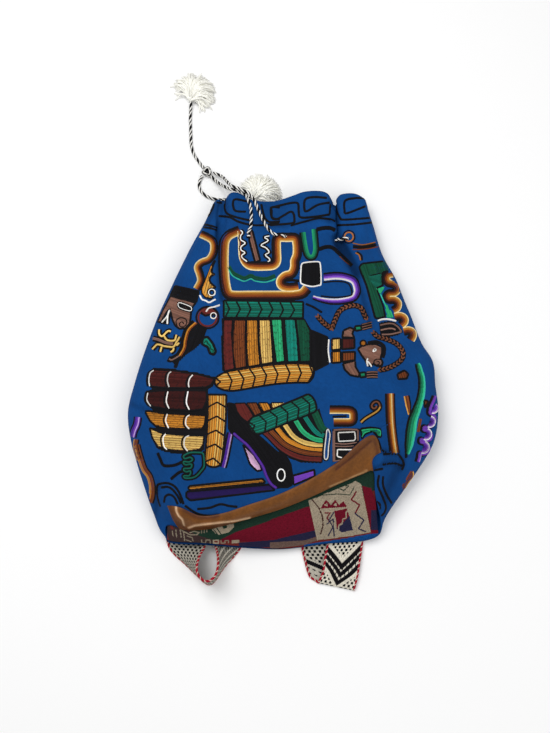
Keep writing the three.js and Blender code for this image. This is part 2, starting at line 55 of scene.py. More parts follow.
# Windows of the photograph in which the motifs are charted: left, top, magnification.
WHOLE = (0, 0, 1)
TOP_LEFT = (110, 190, 9.224)
TOP_RIGHT = (270, 190, 9.224)
MID_LEFT = (110, 320, 9.224)
MID_RIGHT = (270, 320, 8.711)
LOW_LEFT = (110, 440, 8.711)
LOW_RIGHT = (270, 430, 8.711)

# Wool, cloth and cord colours.
COLOURS = {
    "blue": "#0c427e",
    "black": "#0d0c10",
    "white": "#f4f2ec",
    "wool": "#fffef6",
    "bark": "#43190e",
    "rust": "#7c3a14",
    "orange": "#b06a1e",
    "gold": "#d39c44",
    "cream": "#ead6a0",
    "maroon": "#672622",
    "garnet": "#4a1a17",
    "wine": "#381312",
    "brown": "#7a3f1d",
    "amber": "#cb8429",
    "sand": "#e8c26c",
    "mint": "#2cae74",
    "green": "#15805a",
    "teal": "#0d8170",
    "aqua": "#35b79d",
    "pine": "#0d4d36",
    "leaf": "#106454",
    "skin": "#835d4f",
    "taupe": "#856459",
    "purple": "#4a2390",
    "violet": "#7340b4",
    "lilac": "#c6a4e2",
    "indigo": "#23144f",
    "pink": "#dcb2d6",
    "sienna": "#7b4931",
    "crimson": "#650d21",
    "navy": "#23223e",
    "beige": "#9a8d79",
    # Painted shade: a darkened beige and a dark ground for the base's shaded left end.
    "stone_shade": "#847967",
    "dusk_shade": "#3a2b2a",
    "umber": "#665149",
    "olive": "#1a3227",
    "red": "#a3142a",
    "ivory": "#d6d0c0",
    "leather": "#774718",
    # Painted highlights of the leather's rolled edges.
    "tan_highlight": "#c49a6a",
    "shine": "#ecc49c",
}


def linear(name):
    """A colour as linear light, from its screen code."""
    code = COLOURS[name]
    parts = np.array([int(code[i : i + 2], 16) / 255 for i in (1, 3, 5)])
    low = parts / 12.92
    high = ((parts + 0.055) / 1.055) ** 2.4
    return np.where(parts <= 0.04045, low, high)


# Bag sections: y, left edge, right edge, height of the front in the middle, height of the side edge.
SECTIONS = np.array(
    [
        (-240, -165, 138, 84, 20),
        (-204, -185, 150, 88, 21),
        (-165, -199, 170, 90, 24),
        (-125, -212, 197, 91, 27),
        (-85, -225, 223, 91, 29),
        (-40, -231, 231, 90, 30),
        (0, -223, 228, 88, 30),
        (37, -213, 225, 86, 30),
        (65, -204, 209, 83, 29),
        (110, -188, 193, 78, 28),
        (158, -168, 171, 71, 26),
        (205, -147, 152, 63, 24),
        (255, -122, 139, 56, 22),
        (302, -102, 126, 51, 20),
    ],
    float,
)
FRONT_ROUND = 0.85
BACK_ROUND = 0.5
BACK_HEIGHT = 2.5
FOLD_FADE = 2.5

# Base: angle round the bag, the point of the seam there, and the point of the shoulder.
BASE_RINGS = np.array(
    [
        (0, 144, -201, 26, 158, -178, 26),
        (14, 134, -161, 50, 151, -140, 52),
        (25, 130, -130, 66, 140, -106, 74),
        (36, 112, -134, 65, 121, -83, 87),
        (50, 82, -146, 61, 79, -116, 82),
        (66, 40, -165, 55, 35, -143, 77),
        (82, 0, -181, 48, -8, -163, 71),
        (98, -40, -193, 42, -50, -177, 66),
        (114, -80, -204, 37, -88, -189, 61),
        (130, -112, -211, 34, -120, -192, 59),
        (144, -143, -212, 32, -150, -180, 60),
        (155, -163, -206, 32, -170, -178, 50),
        (167, -172, -208, 29, -182, -184, 35),
        (180, -172, -222, 25, -185, -203, 21),
        (195, -165, -231, 24, -165, -203, 12),
        (215, -115, -234, 23.5, -115, -200, 10),
        (240, -61, -238, 18, -61, -203, 8),
        (270, 0, -240, 8, 0, -205, 4.5),
        (300, 67, -232, 7, 67, -200, 4.5),
        (330, 120, -228, 7.5, 120, -195, 5),
        (346, 142, -219, 12, 148, -193, 10),
    ],
    float,
)
SHOULDER_AT = 0.075
LOFT_FROM = 0.22

# Mouth: x and y of the front edge, and the back edge.
MOUTH_MIDDLE = 11.5
MOUTH_HALF = 115.5
MOUTH_BACK = 274
MOUTH_TURN = 0.5
MOUTH_EDGE = np.array(
    [
        (-104, 289),
        (-95, 293),
        (-89, 292),
        (-82, 299.5),
        (-72, 300),
        (-61, 295),
        (-51, 288),
        (-37, 285),
        (-22, 284),
        (-6, 285),
        (14, 291),
        (33, 298),
        (56, 300),
        (68, 296),
        (74, 287),
        (78, 282),
        (82, 290),
        (90, 296),
        (112, 299),
        (127, 293),
    ],
    float,
)

# Valleys pressed into the front: x, y, width, depth.
VALLEYS = [
    [(-90, 310, 6, 11), (-91, 265, 6, 10), (-95, 225, 8, 6), (-98, 195, 9, 0)],
    [(-24, 310, 32, 8), (-22, 262, 30, 6), (-16, 215, 28, 0)],
    [
        (78, 310, 6, 15), (79, 262, 6, 14), (82, 228, 7, 13), (96, 200, 9, 11), (107, 176, 11, 6),
        (118, 150, 12, 0),
    ],
    [(150, -60, 9, 0), (146, -92, 8, 6), (154, -118, 9, 7), (176, -128, 10, 0)],
    [(-150, -120, 14, 0), (-143, -150, 13, 5), (-112, -168, 12, 6), (-60, -158, 14, 0)],
]
# Pleats pushed up into the back of the neck: x, width, height.
BACK_PLEATS = [(-62, 9, 9), (4, 10, 11), (70, 9, 8)]
PLEAT_FROM = 150

CLOTH = 2.0
LEATHER = 1.6
GAP = 0.4
CORD_RADIUS = 2.3
CORD_LIFT = 1.2


def clamp01(t):
    return np.clip(t, 0.0, 1.0)


def ease(t):
    t = clamp01(t)
    return t * t * (3 - 2 * t)


def mix(a, b, t):
    return a + (b - a) * t


def unit(vectors):
    return vectors / np.maximum(np.linalg.norm(vectors, axis=-1, keepdims=True), 1e-9)


def reader(keys, values):
    """Smooth curve through the rows of a table, read at any values of its key column."""
    order = np.arange(len(keys))
    before = np.maximum(0, order - 1)
    after = np.minimum(len(keys) - 1, order + 1)
    shape = (-1,) + (1,) * (values.ndim - 1)
    slope = (values[after] - values[before]) / (keys[after] - keys[before]).reshape(shape)

    def read(at):
        k = np.clip(at, keys[0], keys[-1])
        i = np.clip(np.searchsorted(keys, k) - 1, 0, len(keys) - 2)
        span = keys[i + 1] - keys[i]
        t = (k - keys[i]) / span
        if values.ndim > 1:
            t = t[..., None]
            span = span[..., None]
        start = (2 * t**3 - 3 * t**2 + 1) * values[i] + (t**3 - 2 * t**2 + t) * span * slope[i]
        return start + (3 * t**2 - 2 * t**3) * values[i + 1] + (t**3 - t**2) * span * slope[i + 1]

    return read


section_left, section_right, section_top, section_edge = (
    reader(SECTIONS[:, 0], SECTIONS[:, column]) for column in (1, 2, 3, 4)
)
mouth_edge = reader(MOUTH_EDGE[:, 0], MOUTH_EDGE[:, 1])


def ring_reader(first):
    turned = [BASE_RINGS[-3:].copy(), BASE_RINGS, BASE_RINGS[:3].copy()]
    turned[0][:, 0] -= 360
    turned[2][:, 0] += 360
    rows = np.vstack(turned)
    read = reader(rows[:, 0], rows[:, first : first + 3])
    return lambda angle: read(np.mod(angle, 360.0))


seam_at = ring_reader(1)
shoulder_at = ring_reader(4)


def valley_depth(x, y):
    depth = np.zeros_like(x)
    for valley in VALLEYS:
        for (ax, ay, aw, ad), (bx, by, bw, bd) in zip(valley, valley[1:]):
            t = clamp01(((x - ax) * (bx - ax) + (y - ay) * (by - ay)) / ((bx - ax) ** 2 + (by - ay) ** 2))
            away = np.hypot(x - mix(ax, bx, t), y - mix(ay, by, t))
            depth = np.maximum(depth, mix(ad, bd, t) * np.exp(-((away / mix(aw, bw, t)) ** 2)))
    return depth


def pleat_height(x, y):
    rise = ease((y - PLEAT_FROM) / (MOUTH_BACK - PLEAT_FROM))
    return sum(height * rise * np.exp(-(((x - at) / width) ** 2)) for at, width, height in BACK_PLEATS)


def section_point(angle, y):
    turn = np.radians(angle)
    left = section_left(y)
    right = section_right(y)
    edge = section_edge(y)
    x = (left + right) / 2 + (right - left) / 2 * np.cos(turn)
    rise = np.sin(turn)
    up = clamp01(rise)
    down = clamp01(-rise)
    front = edge + (section_top(y) - edge) * up**FRONT_ROUND - valley_depth(x, y) * clamp01(rise * FOLD_FADE)
    back = edge - (edge - BACK_HEIGHT) * down**BACK_ROUND + pleat_height(x, y) * clamp01(-rise * FOLD_FADE)
    return np.stack([x, y, np.where(rise >= 0, front, back)], axis=-1)


def mouth_y(angle):
    turn = np.radians(angle)
    front = mouth_edge(MOUTH_MIDDLE + MOUTH_HALF * np.cos(turn))
    return mix(front, MOUTH_BACK, ease(-np.sin(turn) / MOUTH_TURN))


def catmull(a, b, c, d, t):
    pull = -a + 3 * b - 3 * c + d
    bend = 2 * a - 5 * b + 4 * c - d
    return 0.5 * (2 * b + (c - a) * t + bend * t**2 + pull * t**3)


def body_point(angle, v):
    """The outer face of the bag: angle round it, and v from the base seam (0) to the mouth (1)."""
    angle, v = np.broadcast_arrays(np.asarray(angle, float), np.asarray(v, float))
    seam = seam_at(angle)
    shoulder = shoulder_at(angle)
    top = mouth_y(angle)

    def upper(w):
        return section_point(angle, mix(seam[..., 1], top, w))

    joined = upper(np.full_like(v, LOFT_FROM))
    beyond = upper(np.full_like(v, 2 * LOFT_FROM - SHOULDER_AT))
    wall = catmull(2 * seam - shoulder, seam, shoulder, joined, (v / SHOULDER_AT)[..., None])
    loft = catmull(seam, shoulder, joined, beyond, ((v - SHOULDER_AT) / (LOFT_FROM - SHOULDER_AT))[..., None])
    low = np.where((v < SHOULDER_AT)[..., None], wall, loft)
    return np.where((v >= LOFT_FROM)[..., None], upper(v), low)


NUDGE_ANGLE = 0.6
NUDGE_V = 0.004


def body_normal(angle, v):
    around = body_point(angle + NUDGE_ANGLE, v) - body_point(angle - NUDGE_ANGLE, v)
    along = body_point(angle, np.minimum(1, v + NUDGE_V)) - body_point(angle, np.maximum(0, v - NUDGE_V))
    return unit(np.cross(along, around))


def body_offset(angle, v, distance):
    return body_point(angle, v) + body_normal(angle, v) * np.asarray(distance)[..., None]


def cloth_height(x, y):
    left = section_left(y)
    right = section_right(y)
    across = np.clip((x - (left + right) / 2) / ((right - left) / 2), -1, 1)
    return section_point(np.degrees(np.arccos(across)), y)[..., 2]


# Meshes from arrays.
def add_piece(name, points, faces, material, slot, colours, domain="POINT", replaces=()):
    mesh = bpy.data.meshes.new(name)
    mesh.from_pydata((np.asarray(points) * MM).tolist(), [], np.asarray(faces).tolist())
    mesh.polygons.foreach_set("use_smooth", np.ones(len(mesh.polygons), bool))
    layer = mesh.color_attributes.new("wool", "FLOAT_COLOR", domain)
    flat = np.column_stack([colours, np.ones(len(colours))]).astype(np.float32)
    layer.data.foreach_set("color", flat.ravel())
    mesh.materials.append(material)
    mesh.update()
    piece = bpy.data.objects.new(name, mesh)
    bpy.context.collection.objects.link(piece)
    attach(piece, "root")
    if replaces:
        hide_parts(*replaces)
    return piece


def grid_faces(rows, columns, first=0, wraps=False, flip=False):
    i = np.arange(rows - 1)[:, None]
    j = np.arange(columns if wraps else columns - 1)[None, :]
    k = (j + 1) % columns
    quads = np.stack([i * columns + j, (i + 1) * columns + j, (i + 1) * columns + k, i * columns + k], -1)
    quads = quads.reshape(-1, 4) + first
    return quads[:, ::-1] if flip else quads


def edge_faces(front, back):
    a = np.asarray(front)
    b = np.asarray(back)
    return np.stack([a[:-1], a[1:], b[1:], b[:-1]], -1)


def sheet_mesh(outer, inner, wraps=False):
    """Points and faces of a sheet with thickness, from two grids of points of the same size."""
    rows, columns = outer.shape[:2]
    count = rows * columns
    points = np.vstack([outer.reshape(-1, 3), inner.reshape(-1, 3)])
    index = np.arange(count).reshape(rows, columns)
    faces = [grid_faces(rows, columns, 0, wraps), grid_faces(rows, columns, count, wraps, True)]
    ring = np.append(index, index[:, :1], axis=1) if wraps else index
    faces.append(edge_faces(ring[0], ring[0] + count))
    faces.append(edge_faces(ring[-1] + count, ring[-1]))
    if not wraps:
        faces.append(edge_faces(index[:, 0] + count, index[:, 0]))
        faces.append(edge_faces(index[:, -1], index[:, -1] + count))
    return points, np.vstack(faces)


# Steps between two points of a smooth path, and the rise above which a path counts as upright.
SPAN_STEPS = 24
STEEP = 0.9


def path_through(rows, step):
    """Smooth path through the rows, with points about step apart."""
    rows = np.asarray(rows, float)
    ends = np.vstack([2 * rows[0] - rows[1], rows, 2 * rows[-1] - rows[-2]])
    t = np.linspace(0, 1, SPAN_STEPS, endpoint=False)[:, None]
    spans = [catmull(ends[i], ends[i + 1], ends[i + 2], ends[i + 3], t) for i in range(len(rows) - 1)]
    return evenly(np.vstack(spans + [rows[-1:]]), step)


def evenly(path, step):
    along = np.append(0, np.cumsum(np.linalg.norm(np.diff(path, axis=0), axis=1)))
    count = max(2, int(round(along[-1] / step)) + 1)
    at = np.linspace(0, along[-1], count)
    return np.column_stack([np.interp(at, along, path[:, k]) for k in range(path.shape[1])])


def path_length(path):
    return float(np.linalg.norm(np.diff(path, axis=0), axis=1).sum())


def path_frames(path):
    """Tangent and two side directions that don't twist along the path."""
    tangent = unit(np.gradient(path, axis=0))
    side = np.zeros_like(path)
    start = np.array([0, 0, 1.0]) if abs(tangent[0][2]) < STEEP else np.array([1.0, 0, 0])
    side[0] = unit(np.cross(tangent[0], start))
    for i in range(1, len(path)):
        carried = side[i - 1] - tangent[i] * side[i - 1].dot(tangent[i])
        side[i] = unit(carried)
    return tangent, side, np.cross(tangent, side)


TUBE_SIDES = 6


def tubes(centres, side, up, radii):
    """Points and faces of closed tubes of an even count of sides: centres is (tubes, steps, 3)."""
    sides = TUBE_SIDES
    count, steps = centres.shape[:2]
    turn = np.linspace(0, 2 * math.pi, sides, endpoint=False)
    ring = side[..., None, :] * np.cos(turn)[:, None] + up[..., None, :] * np.sin(turn)[:, None]
    points = centres[..., None, :] + ring * radii[..., None, None]
    last = (steps - 1) * sides
    fans = [[0, i + 2, i + 1, i] for i in range(1, sides - 2, 2)]
    fans += [[last, last + i, last + i + 1, last + i + 2] for i in range(1, sides - 2, 2)]
    one = np.vstack([grid_faces(steps, sides, 0, True, True), np.array(fans)])
    faces = one[None] + (np.arange(count) * steps * sides)[:, None, None]
    return points.reshape(-1, 3), faces.reshape(-1, 4)


# Strands of a cord: how far out their centres lie, their girth and that of their ends, as shares.
STRAND_OUT = 0.5
STRAND_SIZE = 0.56
STRAND_END = 0.5
CORD_FLECK = 0.1


def rope(path, radius, pitch, strand_colours):
    """A twisted cord: strands wound round a path, with a colour each."""
    _, side, up = path_frames(path)
    along = np.append(0, np.cumsum(np.linalg.norm(np.diff(path, axis=0), axis=1)))
    strands = len(strand_colours)
    centres = []
    for k in range(strands):
        turn = 2 * math.pi * (k / strands + along / pitch)
        out = side * np.cos(turn)[:, None] + up * np.sin(turn)[:, None]
        centres.append(path + out * radius * STRAND_OUT)
    frames = [path_frames(centre) for centre in centres]
    girth = np.full((strands, len(path)), radius * STRAND_SIZE)
    girth[:, [0, -1]] *= STRAND_END
    sides = np.array([f[1] for f in frames])
    ups = np.array([f[2] for f in frames])
    points, faces = tubes(np.array(centres), sides, ups, girth)
    each = len(points) // strands
    colours = np.vstack([np.tile(linear(colour), (each, 1)) for colour in strand_colours])
    return points, faces, flecked(colours, CORD_FLECK)


def flecked(colours, amount):
    return np.clip(colours * (1 + amount * rng.standard_normal((len(colours), 1))), 0, 1)


# Materials.
# Colour sockets of a Mix node.
MIX_A = 6
MIX_B = 7
MIX_RESULT = 2
# Fibres: where the noise turns from dark to pale, the dark tone, detail, bump and its depth in metres.
RAMP = (0.3, 0.7)
FLECK_GREY = (0.55, 0.55, 0.55)
FIBRE_DETAIL = 4.0
FIBRE_BUMP = 0.35
FIBRE_DEPTH = 0.0006


def new_material(name):
    material = bpy.data.materials.new(name)
    material.use_nodes = True
    nodes = material.node_tree.nodes
    return material, nodes, material.node_tree.links, nodes["Principled BSDF"]


def bump_from(nodes, links, shader, height):
    bump = nodes.new("ShaderNodeBump")
    bump.inputs["Strength"].default_value = FIBRE_BUMP
    bump.inputs["Distance"].default_value = FIBRE_DEPTH
    links.new(height, bump.inputs["Height"])
    links.new(bump.outputs["Normal"], shader.inputs["Normal"])


def noise_node(nodes, links, scale):
    place = nodes.new("ShaderNodeTexCoord")
    texture = nodes.new("ShaderNodeTexNoise")
    texture.inputs["Scale"].default_value = scale
    texture.inputs["Detail"].default_value = FIBRE_DETAIL
    links.new(place.outputs["Object"], texture.inputs["Vector"])
    return texture


def colour_between(nodes, links, factor, dark, light):
    ramp = nodes.new("ShaderNodeValToRGB")
    for element, position, colour in zip(ramp.color_ramp.elements, RAMP, (dark, light)):
        element.position = position
        element.color = (*colour, 1)
    links.new(factor, ramp.inputs["Fac"])
    return ramp.outputs["Color"]


def wool_material(name, rough, gloss, fleck_share, fibre):
    """Coloured by the mesh's own colours, flecked with fine fibres or grain."""
    material, nodes, links, shader = new_material(name)
    shade = nodes.new("ShaderNodeVertexColor")
    shade.layer_name = "wool"
    fibres = noise_node(nodes, links, fibre)
    fleck = nodes.new("ShaderNodeMix")
    fleck.data_type = "RGBA"
    fleck.blend_type = "MULTIPLY"
    fleck.inputs["Factor"].default_value = fleck_share
    links.new(shade.outputs["Color"], fleck.inputs[MIX_A])
    grey = colour_between(nodes, links, fibres.outputs["Fac"], FLECK_GREY, (1, 1, 1))
    links.new(grey, fleck.inputs[MIX_B])
    links.new(fleck.outputs[MIX_RESULT], shader.inputs["Base Color"])
    shader.inputs["Roughness"].default_value = rough
    shader.inputs["Specular IOR Level"].default_value = gloss
    bump_from(nodes, links, shader, fibres.outputs["Fac"])
    return material


# Name, roughness, gloss, share of flecks, fibres to the metre.
BLUE_CLOTH = wool_material("blue_cloth", 0.9, 0.1, 0.35, 900.0)
BROWN_LEATHER = wool_material("brown_leather", 0.5, 0.22, 0.5, 260.0)
EMBROIDERY_WOOL = wool_material("embroidery_wool", 0.7, 0.12, 0.3, 1200.0)
WOVEN_WOOL = wool_material("woven_wool", 0.9, 0.1, 0.4, 900.0)
CORD_WOOL = wool_material("cord_wool", 0.8, 0.15, 0.3, 1500.0)
WHITE_WOOL = wool_material("white_wool", 0.9, 0.1, 0.0, 1500.0)


# Places in the photograph.
def photo_px(points):
    """Where points fall in the photograph, in pixels."""
    away = points - CAMERA_AT
    up = away[..., 1] * math.cos(CAMERA_TILT) + away[..., 2] * math.sin(CAMERA_TILT)
    depth = away[..., 1] * math.sin(CAMERA_TILT) - away[..., 2] * math.cos(CAMERA_TILT)
    px = PHOTO_WIDTH / 2 + FOCAL_PX * away[..., 0] / depth
    return np.stack([px, PHOTO_HEIGHT / 2 - FOCAL_PX * up / depth], -1)


def in_window(window, points):
    left, top, scale = window
    return np.asarray(points, float) / scale + (left, top)


def inside(polygon, at):
    """Which of the points lie in the polygon."""
    hit = np.zeros(len(at), bool)
    for (ax, ay), (bx, by) in zip(polygon, np.roll(polygon, -1, axis=0)):
        crosses = (ay > at[:, 1]) != (by > at[:, 1])
        rise = by - ay if by != ay else 1e-9
        hit ^= crosses & (at[:, 0] < (bx - ax) * (at[:, 1] - ay) / rise + ax)
    return hit


def line_distance(line, at):
    """How far the points lie from the line."""
    away = np.full(at.shape[:-1], np.inf)
    for a, b in zip(line, line[1:]):
        run = b - a
        t = clamp01(((at - a) @ run) / max(run @ run, 1e-9))
        away = np.minimum(away, np.linalg.norm(at - a - t[..., None] * run, axis=-1))
    return away


# Bag cloth: the CAD loft at a fine pitch, with soft ripples, gathers at the neck and a hem, and painted shade
# in its folds, creases and turned-away sides.
CLOTH_FRONT_COLUMNS = 190
CLOTH_BACK_COLUMNS = 70
CLOTH_WALL_ROWS = 10
CLOTH_UPPER_ROWS = 140
NECK_Y = 224
GATHER_REACH = 34
GATHER_DEPTH = 1.1
GATHER_COUNT = 23
RIPPLE_DEPTH = 0.9
HEM_FROM = 0.972
HEM_LIFT = 0.7
# Painted shade: how much the valleys darken the cloth and the depth at which that is full, and the tone kept
# on the turned-away sides and the slope below which they darken.
FOLD_SHADE = 0.2
FOLD_DEEP = 13
EDGE_PAINTED_SHADE = 0.6
EDGE_SLOPE = 0.5
SHADE_RIPPLE = 0.07
SHADE_SCALE = 1.3
SHADE_SHIFT = 20
CLOTH_FLECK = 0.04
# The front's share of the folds, from the sine of the angle: gain and start.
FRONT_GAIN = 2
FRONT_START = 0.1
# Shares of the way from seam to mouth over which the folds and the hem come in.
FREE_RISE = 0.12
HEM_RISE = 0.006
# Ripples: share, and for each way the length, the length of its bend and the depth of that bend.
RIPPLES = [
    (1.0, 23, 31, 1.7, 27, 37, 1.3),
    (0.35, 9, 13, 1.1, 11, 15, 0.9),
]
# A swell of the right side: angle, y, reach of each, rise.
SWELL_AT = (6, 163)
SWELL_REACH = (24, 30)
SWELL_RISE = 4.5
# Creases of the front: window, width in pixels, depth, painted shade, points. A depth below 0 is a ridge; a
# shade below 0 is a paler place of painted light.
CREASES = [
    (TOP_LEFT, 2.4, 3.0, 0.5, [
        (1035, 85), (1000, 140), (985, 220), (1000, 320), (1000, 450), (992, 620), (1010, 850), (1030, 1010),
    ]),
    (TOP_LEFT, 3.0, 1.5, 0.3, [(960, 120), (930, 230), (880, 330)]),
    (TOP_LEFT, 5.0, 0.0, -0.25, [(1035, 270), (1060, 320), (1040, 400)]),
    (TOP_RIGHT, 2.2, -7.0, -0.1, [(582, 190), (586, 260), (590, 400)]),
    (TOP_RIGHT, 1.6, 3.0, 0.5, [(600, 120), (606, 260), (612, 420)]),
    (TOP_RIGHT, 4.0, 4.5, 0.6, [(640, 480), (690, 570), (760, 685), (800, 760)]),
    (TOP_RIGHT, 2.6, 2.0, 0.35, [(812, 800), (850, 950), (900, 1120), (930, 1250)]),
    (TOP_RIGHT, 2.4, 1.4, 0.3, [(0, 330), (150, 322), (330, 280), (450, 252), (600, 290)]),
    (TOP_RIGHT, 6.0, 0.0, -0.2, [(20, 360), (250, 330), (470, 310), (560, 330)]),
    (TOP_RIGHT, 9.0, 0.0, -0.2, [(740, 130), (810, 140), (850, 400), (930, 420)]),
    (LOW_RIGHT, 2.2, 3.0, 0.45, [
        (905, 60), (935, 120), (965, 180), (1040, 200), (1130, 215), (1165, 290), (1140, 345),
    ]),
    (LOW_RIGHT, 2.0, 2.6, 0.4, [(860, 385), (930, 330), (985, 300), (1080, 290), (1140, 320)]),
    (LOW_RIGHT, 2.0, 2.0, 0.35, [(880, 420), (870, 480), (900, 620), (950, 740)]),
    (LOW_RIGHT, 5.0, 0.5, 0.35, [(1110, 340), (1060, 450), (1000, 600)]),
    (LOW_RIGHT, 3.0, -0.8, -0.3, [(955, 150), (965, 260), (940, 330)]),
    (LOW_LEFT, 2.2, 0.0, 0.7, [(490, 880), (650, 892), (900, 912), (1130, 928), (1400, 946), (1568, 948)]),
    (LOW_RIGHT, 2.2, 0.0, 0.6, [(20, 1038), (150, 1036), (280, 1024)]),
    (LOW_LEFT, 2.4, 2.0, 0.35, [(380, 700), (400, 600), (400, 480), (430, 390)]),
    (LOW_LEFT, 2.2, 1.0, 0.5, [(600, 590), (700, 645), (800, 672), (930, 655)]),
    (MID_LEFT, 3.0, 1.2, 0.25, [(200, 780), (330, 830), (480, 845), (640, 850), (850, 850)]),
]


def ripple(x, y):
    height = 0
    for share, x_length, x_bend, x_depth, y_length, y_bend, y_depth in RIPPLES:
        across = np.sin(x / x_length + x_depth * np.sin(y / x_bend))
        height = height + share * (across * np.sin(y / y_length + y_depth * np.cos(x / y_bend)))
    return height


def cloth_grid():
    front = np.linspace(0, 180, CLOTH_FRONT_COLUMNS, endpoint=False)
    back = np.linspace(180, 360, CLOTH_BACK_COLUMNS, endpoint=False)
    wall = np.linspace(0, SHOULDER_AT, CLOTH_WALL_ROWS, endpoint=False)
    upper = np.linspace(SHOULDER_AT, 1, CLOTH_UPPER_ROWS)
    angle, v = np.meshgrid(np.append(front, back), np.append(wall, upper))
    points = body_point(angle, v)
    normals = body_normal(angle, v)
    rise = clamp01(np.sin(np.radians(angle)) * FRONT_GAIN + FRONT_START)
    free = ease((v - SHOULDER_AT) / FREE_RISE) * rise
    x, y = points[..., 0], points[..., 1]
    near_neck = np.exp(-(((y - NECK_Y) / GATHER_REACH) ** 2))
    gather = near_neck * np.sin(np.radians(angle) * GATHER_COUNT + ripple(x, y))
    lift = (RIPPLE_DEPTH * ripple(x, y) + GATHER_DEPTH * gather) * free
    lift = lift + HEM_LIFT * ease((v - HEM_FROM) / HEM_RISE)
    turned = np.mod(angle - SWELL_AT[0] + 180, 360) - 180
    swell = np.exp(-((turned / SWELL_REACH[0]) ** 2) - ((y - SWELL_AT[1]) / SWELL_REACH[1]) ** 2)
    lift = lift + SWELL_RISE * swell
    # Painted shade in the valleys and along the creases; creases with a shade below 0 paint paler, lit
    # patches.
    shade = 1 - FOLD_SHADE * clamp01(valley_depth(x, y) / FOLD_DEEP) * rise
    seen = photo_px(points)
    for window, width, depth, dark, line in CREASES:
        press = np.exp(-((line_distance(in_window(window, line), seen) / width) ** 2))
        lift = lift - depth * press * rise
        shade = shade * (1 - dark * press)
    # Painted shade where the cloth turns toward its sides, and a tone that varies in broad patches.
    turned_away = clamp01(np.abs(normals[..., 2]) / EDGE_SLOPE)
    patches = ripple(SHADE_SCALE * x + SHADE_SHIFT, SHADE_SCALE * y)
    shade = shade * mix(EDGE_PAINTED_SHADE, 1.0, turned_away) * (1 + SHADE_RIPPLE * patches)
    return points + normals * lift[..., None], normals, shade


cloth_outer, cloth_normals, cloth_shade = cloth_grid()
cloth_points, cloth_faces = sheet_mesh(cloth_outer, cloth_outer - cloth_normals * CLOTH, True)
cloth_colours = flecked(np.tile(cloth_shade.ravel(), 2)[:, None] * linear("blue"), CLOTH_FLECK)
bag_cloth = add_piece(
    "bag_cloth", cloth_points, cloth_faces, BLUE_CLOTH, "cloth_blue", cloth_colours, replaces=["bag_body"]
)
outer_faces = grid_faces(*cloth_outer.shape[:2], 0, True)
flat_points = cloth_outer.reshape(-1, 3)
flat_normals = cloth_normals.reshape(-1, 3)
flat_shades = cloth_shade.ravel()
CLOTH_TREE = BVHTree.FromPolygons(flat_points.tolist(), outer_faces.tolist())


# Base panel: woven wool, coloured cell by cell from the shapes charted on it.
PLUG_DEPTH = 0.004
PLUG_GAP = 2
PLUG = {"front_left": 163, "back_left": 190, "front_right": 18, "back_right": 346}
PANEL_BULGE = 5
PANEL_COLUMNS = 330
PANEL_ROWS = 104
WEAVE_BUMP = 0.22
NUDGE = 0.01
PANEL_FLECK = 0.18


def panel_rim(angle):
    return body_offset(angle, np.full_like(angle, PLUG_DEPTH), -(CLOTH + PLUG_GAP))


def panel_span(t, s):
    front = panel_rim(mix(PLUG["front_left"], PLUG["front_right"], t))
    return mix(front, panel_rim(mix(PLUG["back_left"], PLUG["back_right"], t)), s[..., None])


def panel_grid():
    t, s = np.meshgrid(np.linspace(0, 1, PANEL_COLUMNS + 1), np.linspace(0, 1, PANEL_ROWS + 1))
    across = panel_span(np.minimum(1, t + NUDGE), s) - panel_span(np.maximum(0, t - NUDGE), s)
    down = panel_span(t, np.minimum(1, s + NUDGE)) - panel_span(t, np.maximum(0, s - NUDGE))
    face = unit(np.cross(down, across))
    swell = PANEL_BULGE * (np.sin(np.pi * t) * np.sin(np.pi * s)) ** 2
    thread = WEAVE_BUMP * (np.add.outer(np.arange(PANEL_ROWS + 1), np.arange(PANEL_COLUMNS + 1)) % 2)
    point = panel_span(t, s)
    outer = point + face * (swell + CLOTH * s + thread)[..., None]
    inner = point + face * (swell - CLOTH * (1 - s))[..., None]
    return outer, inner


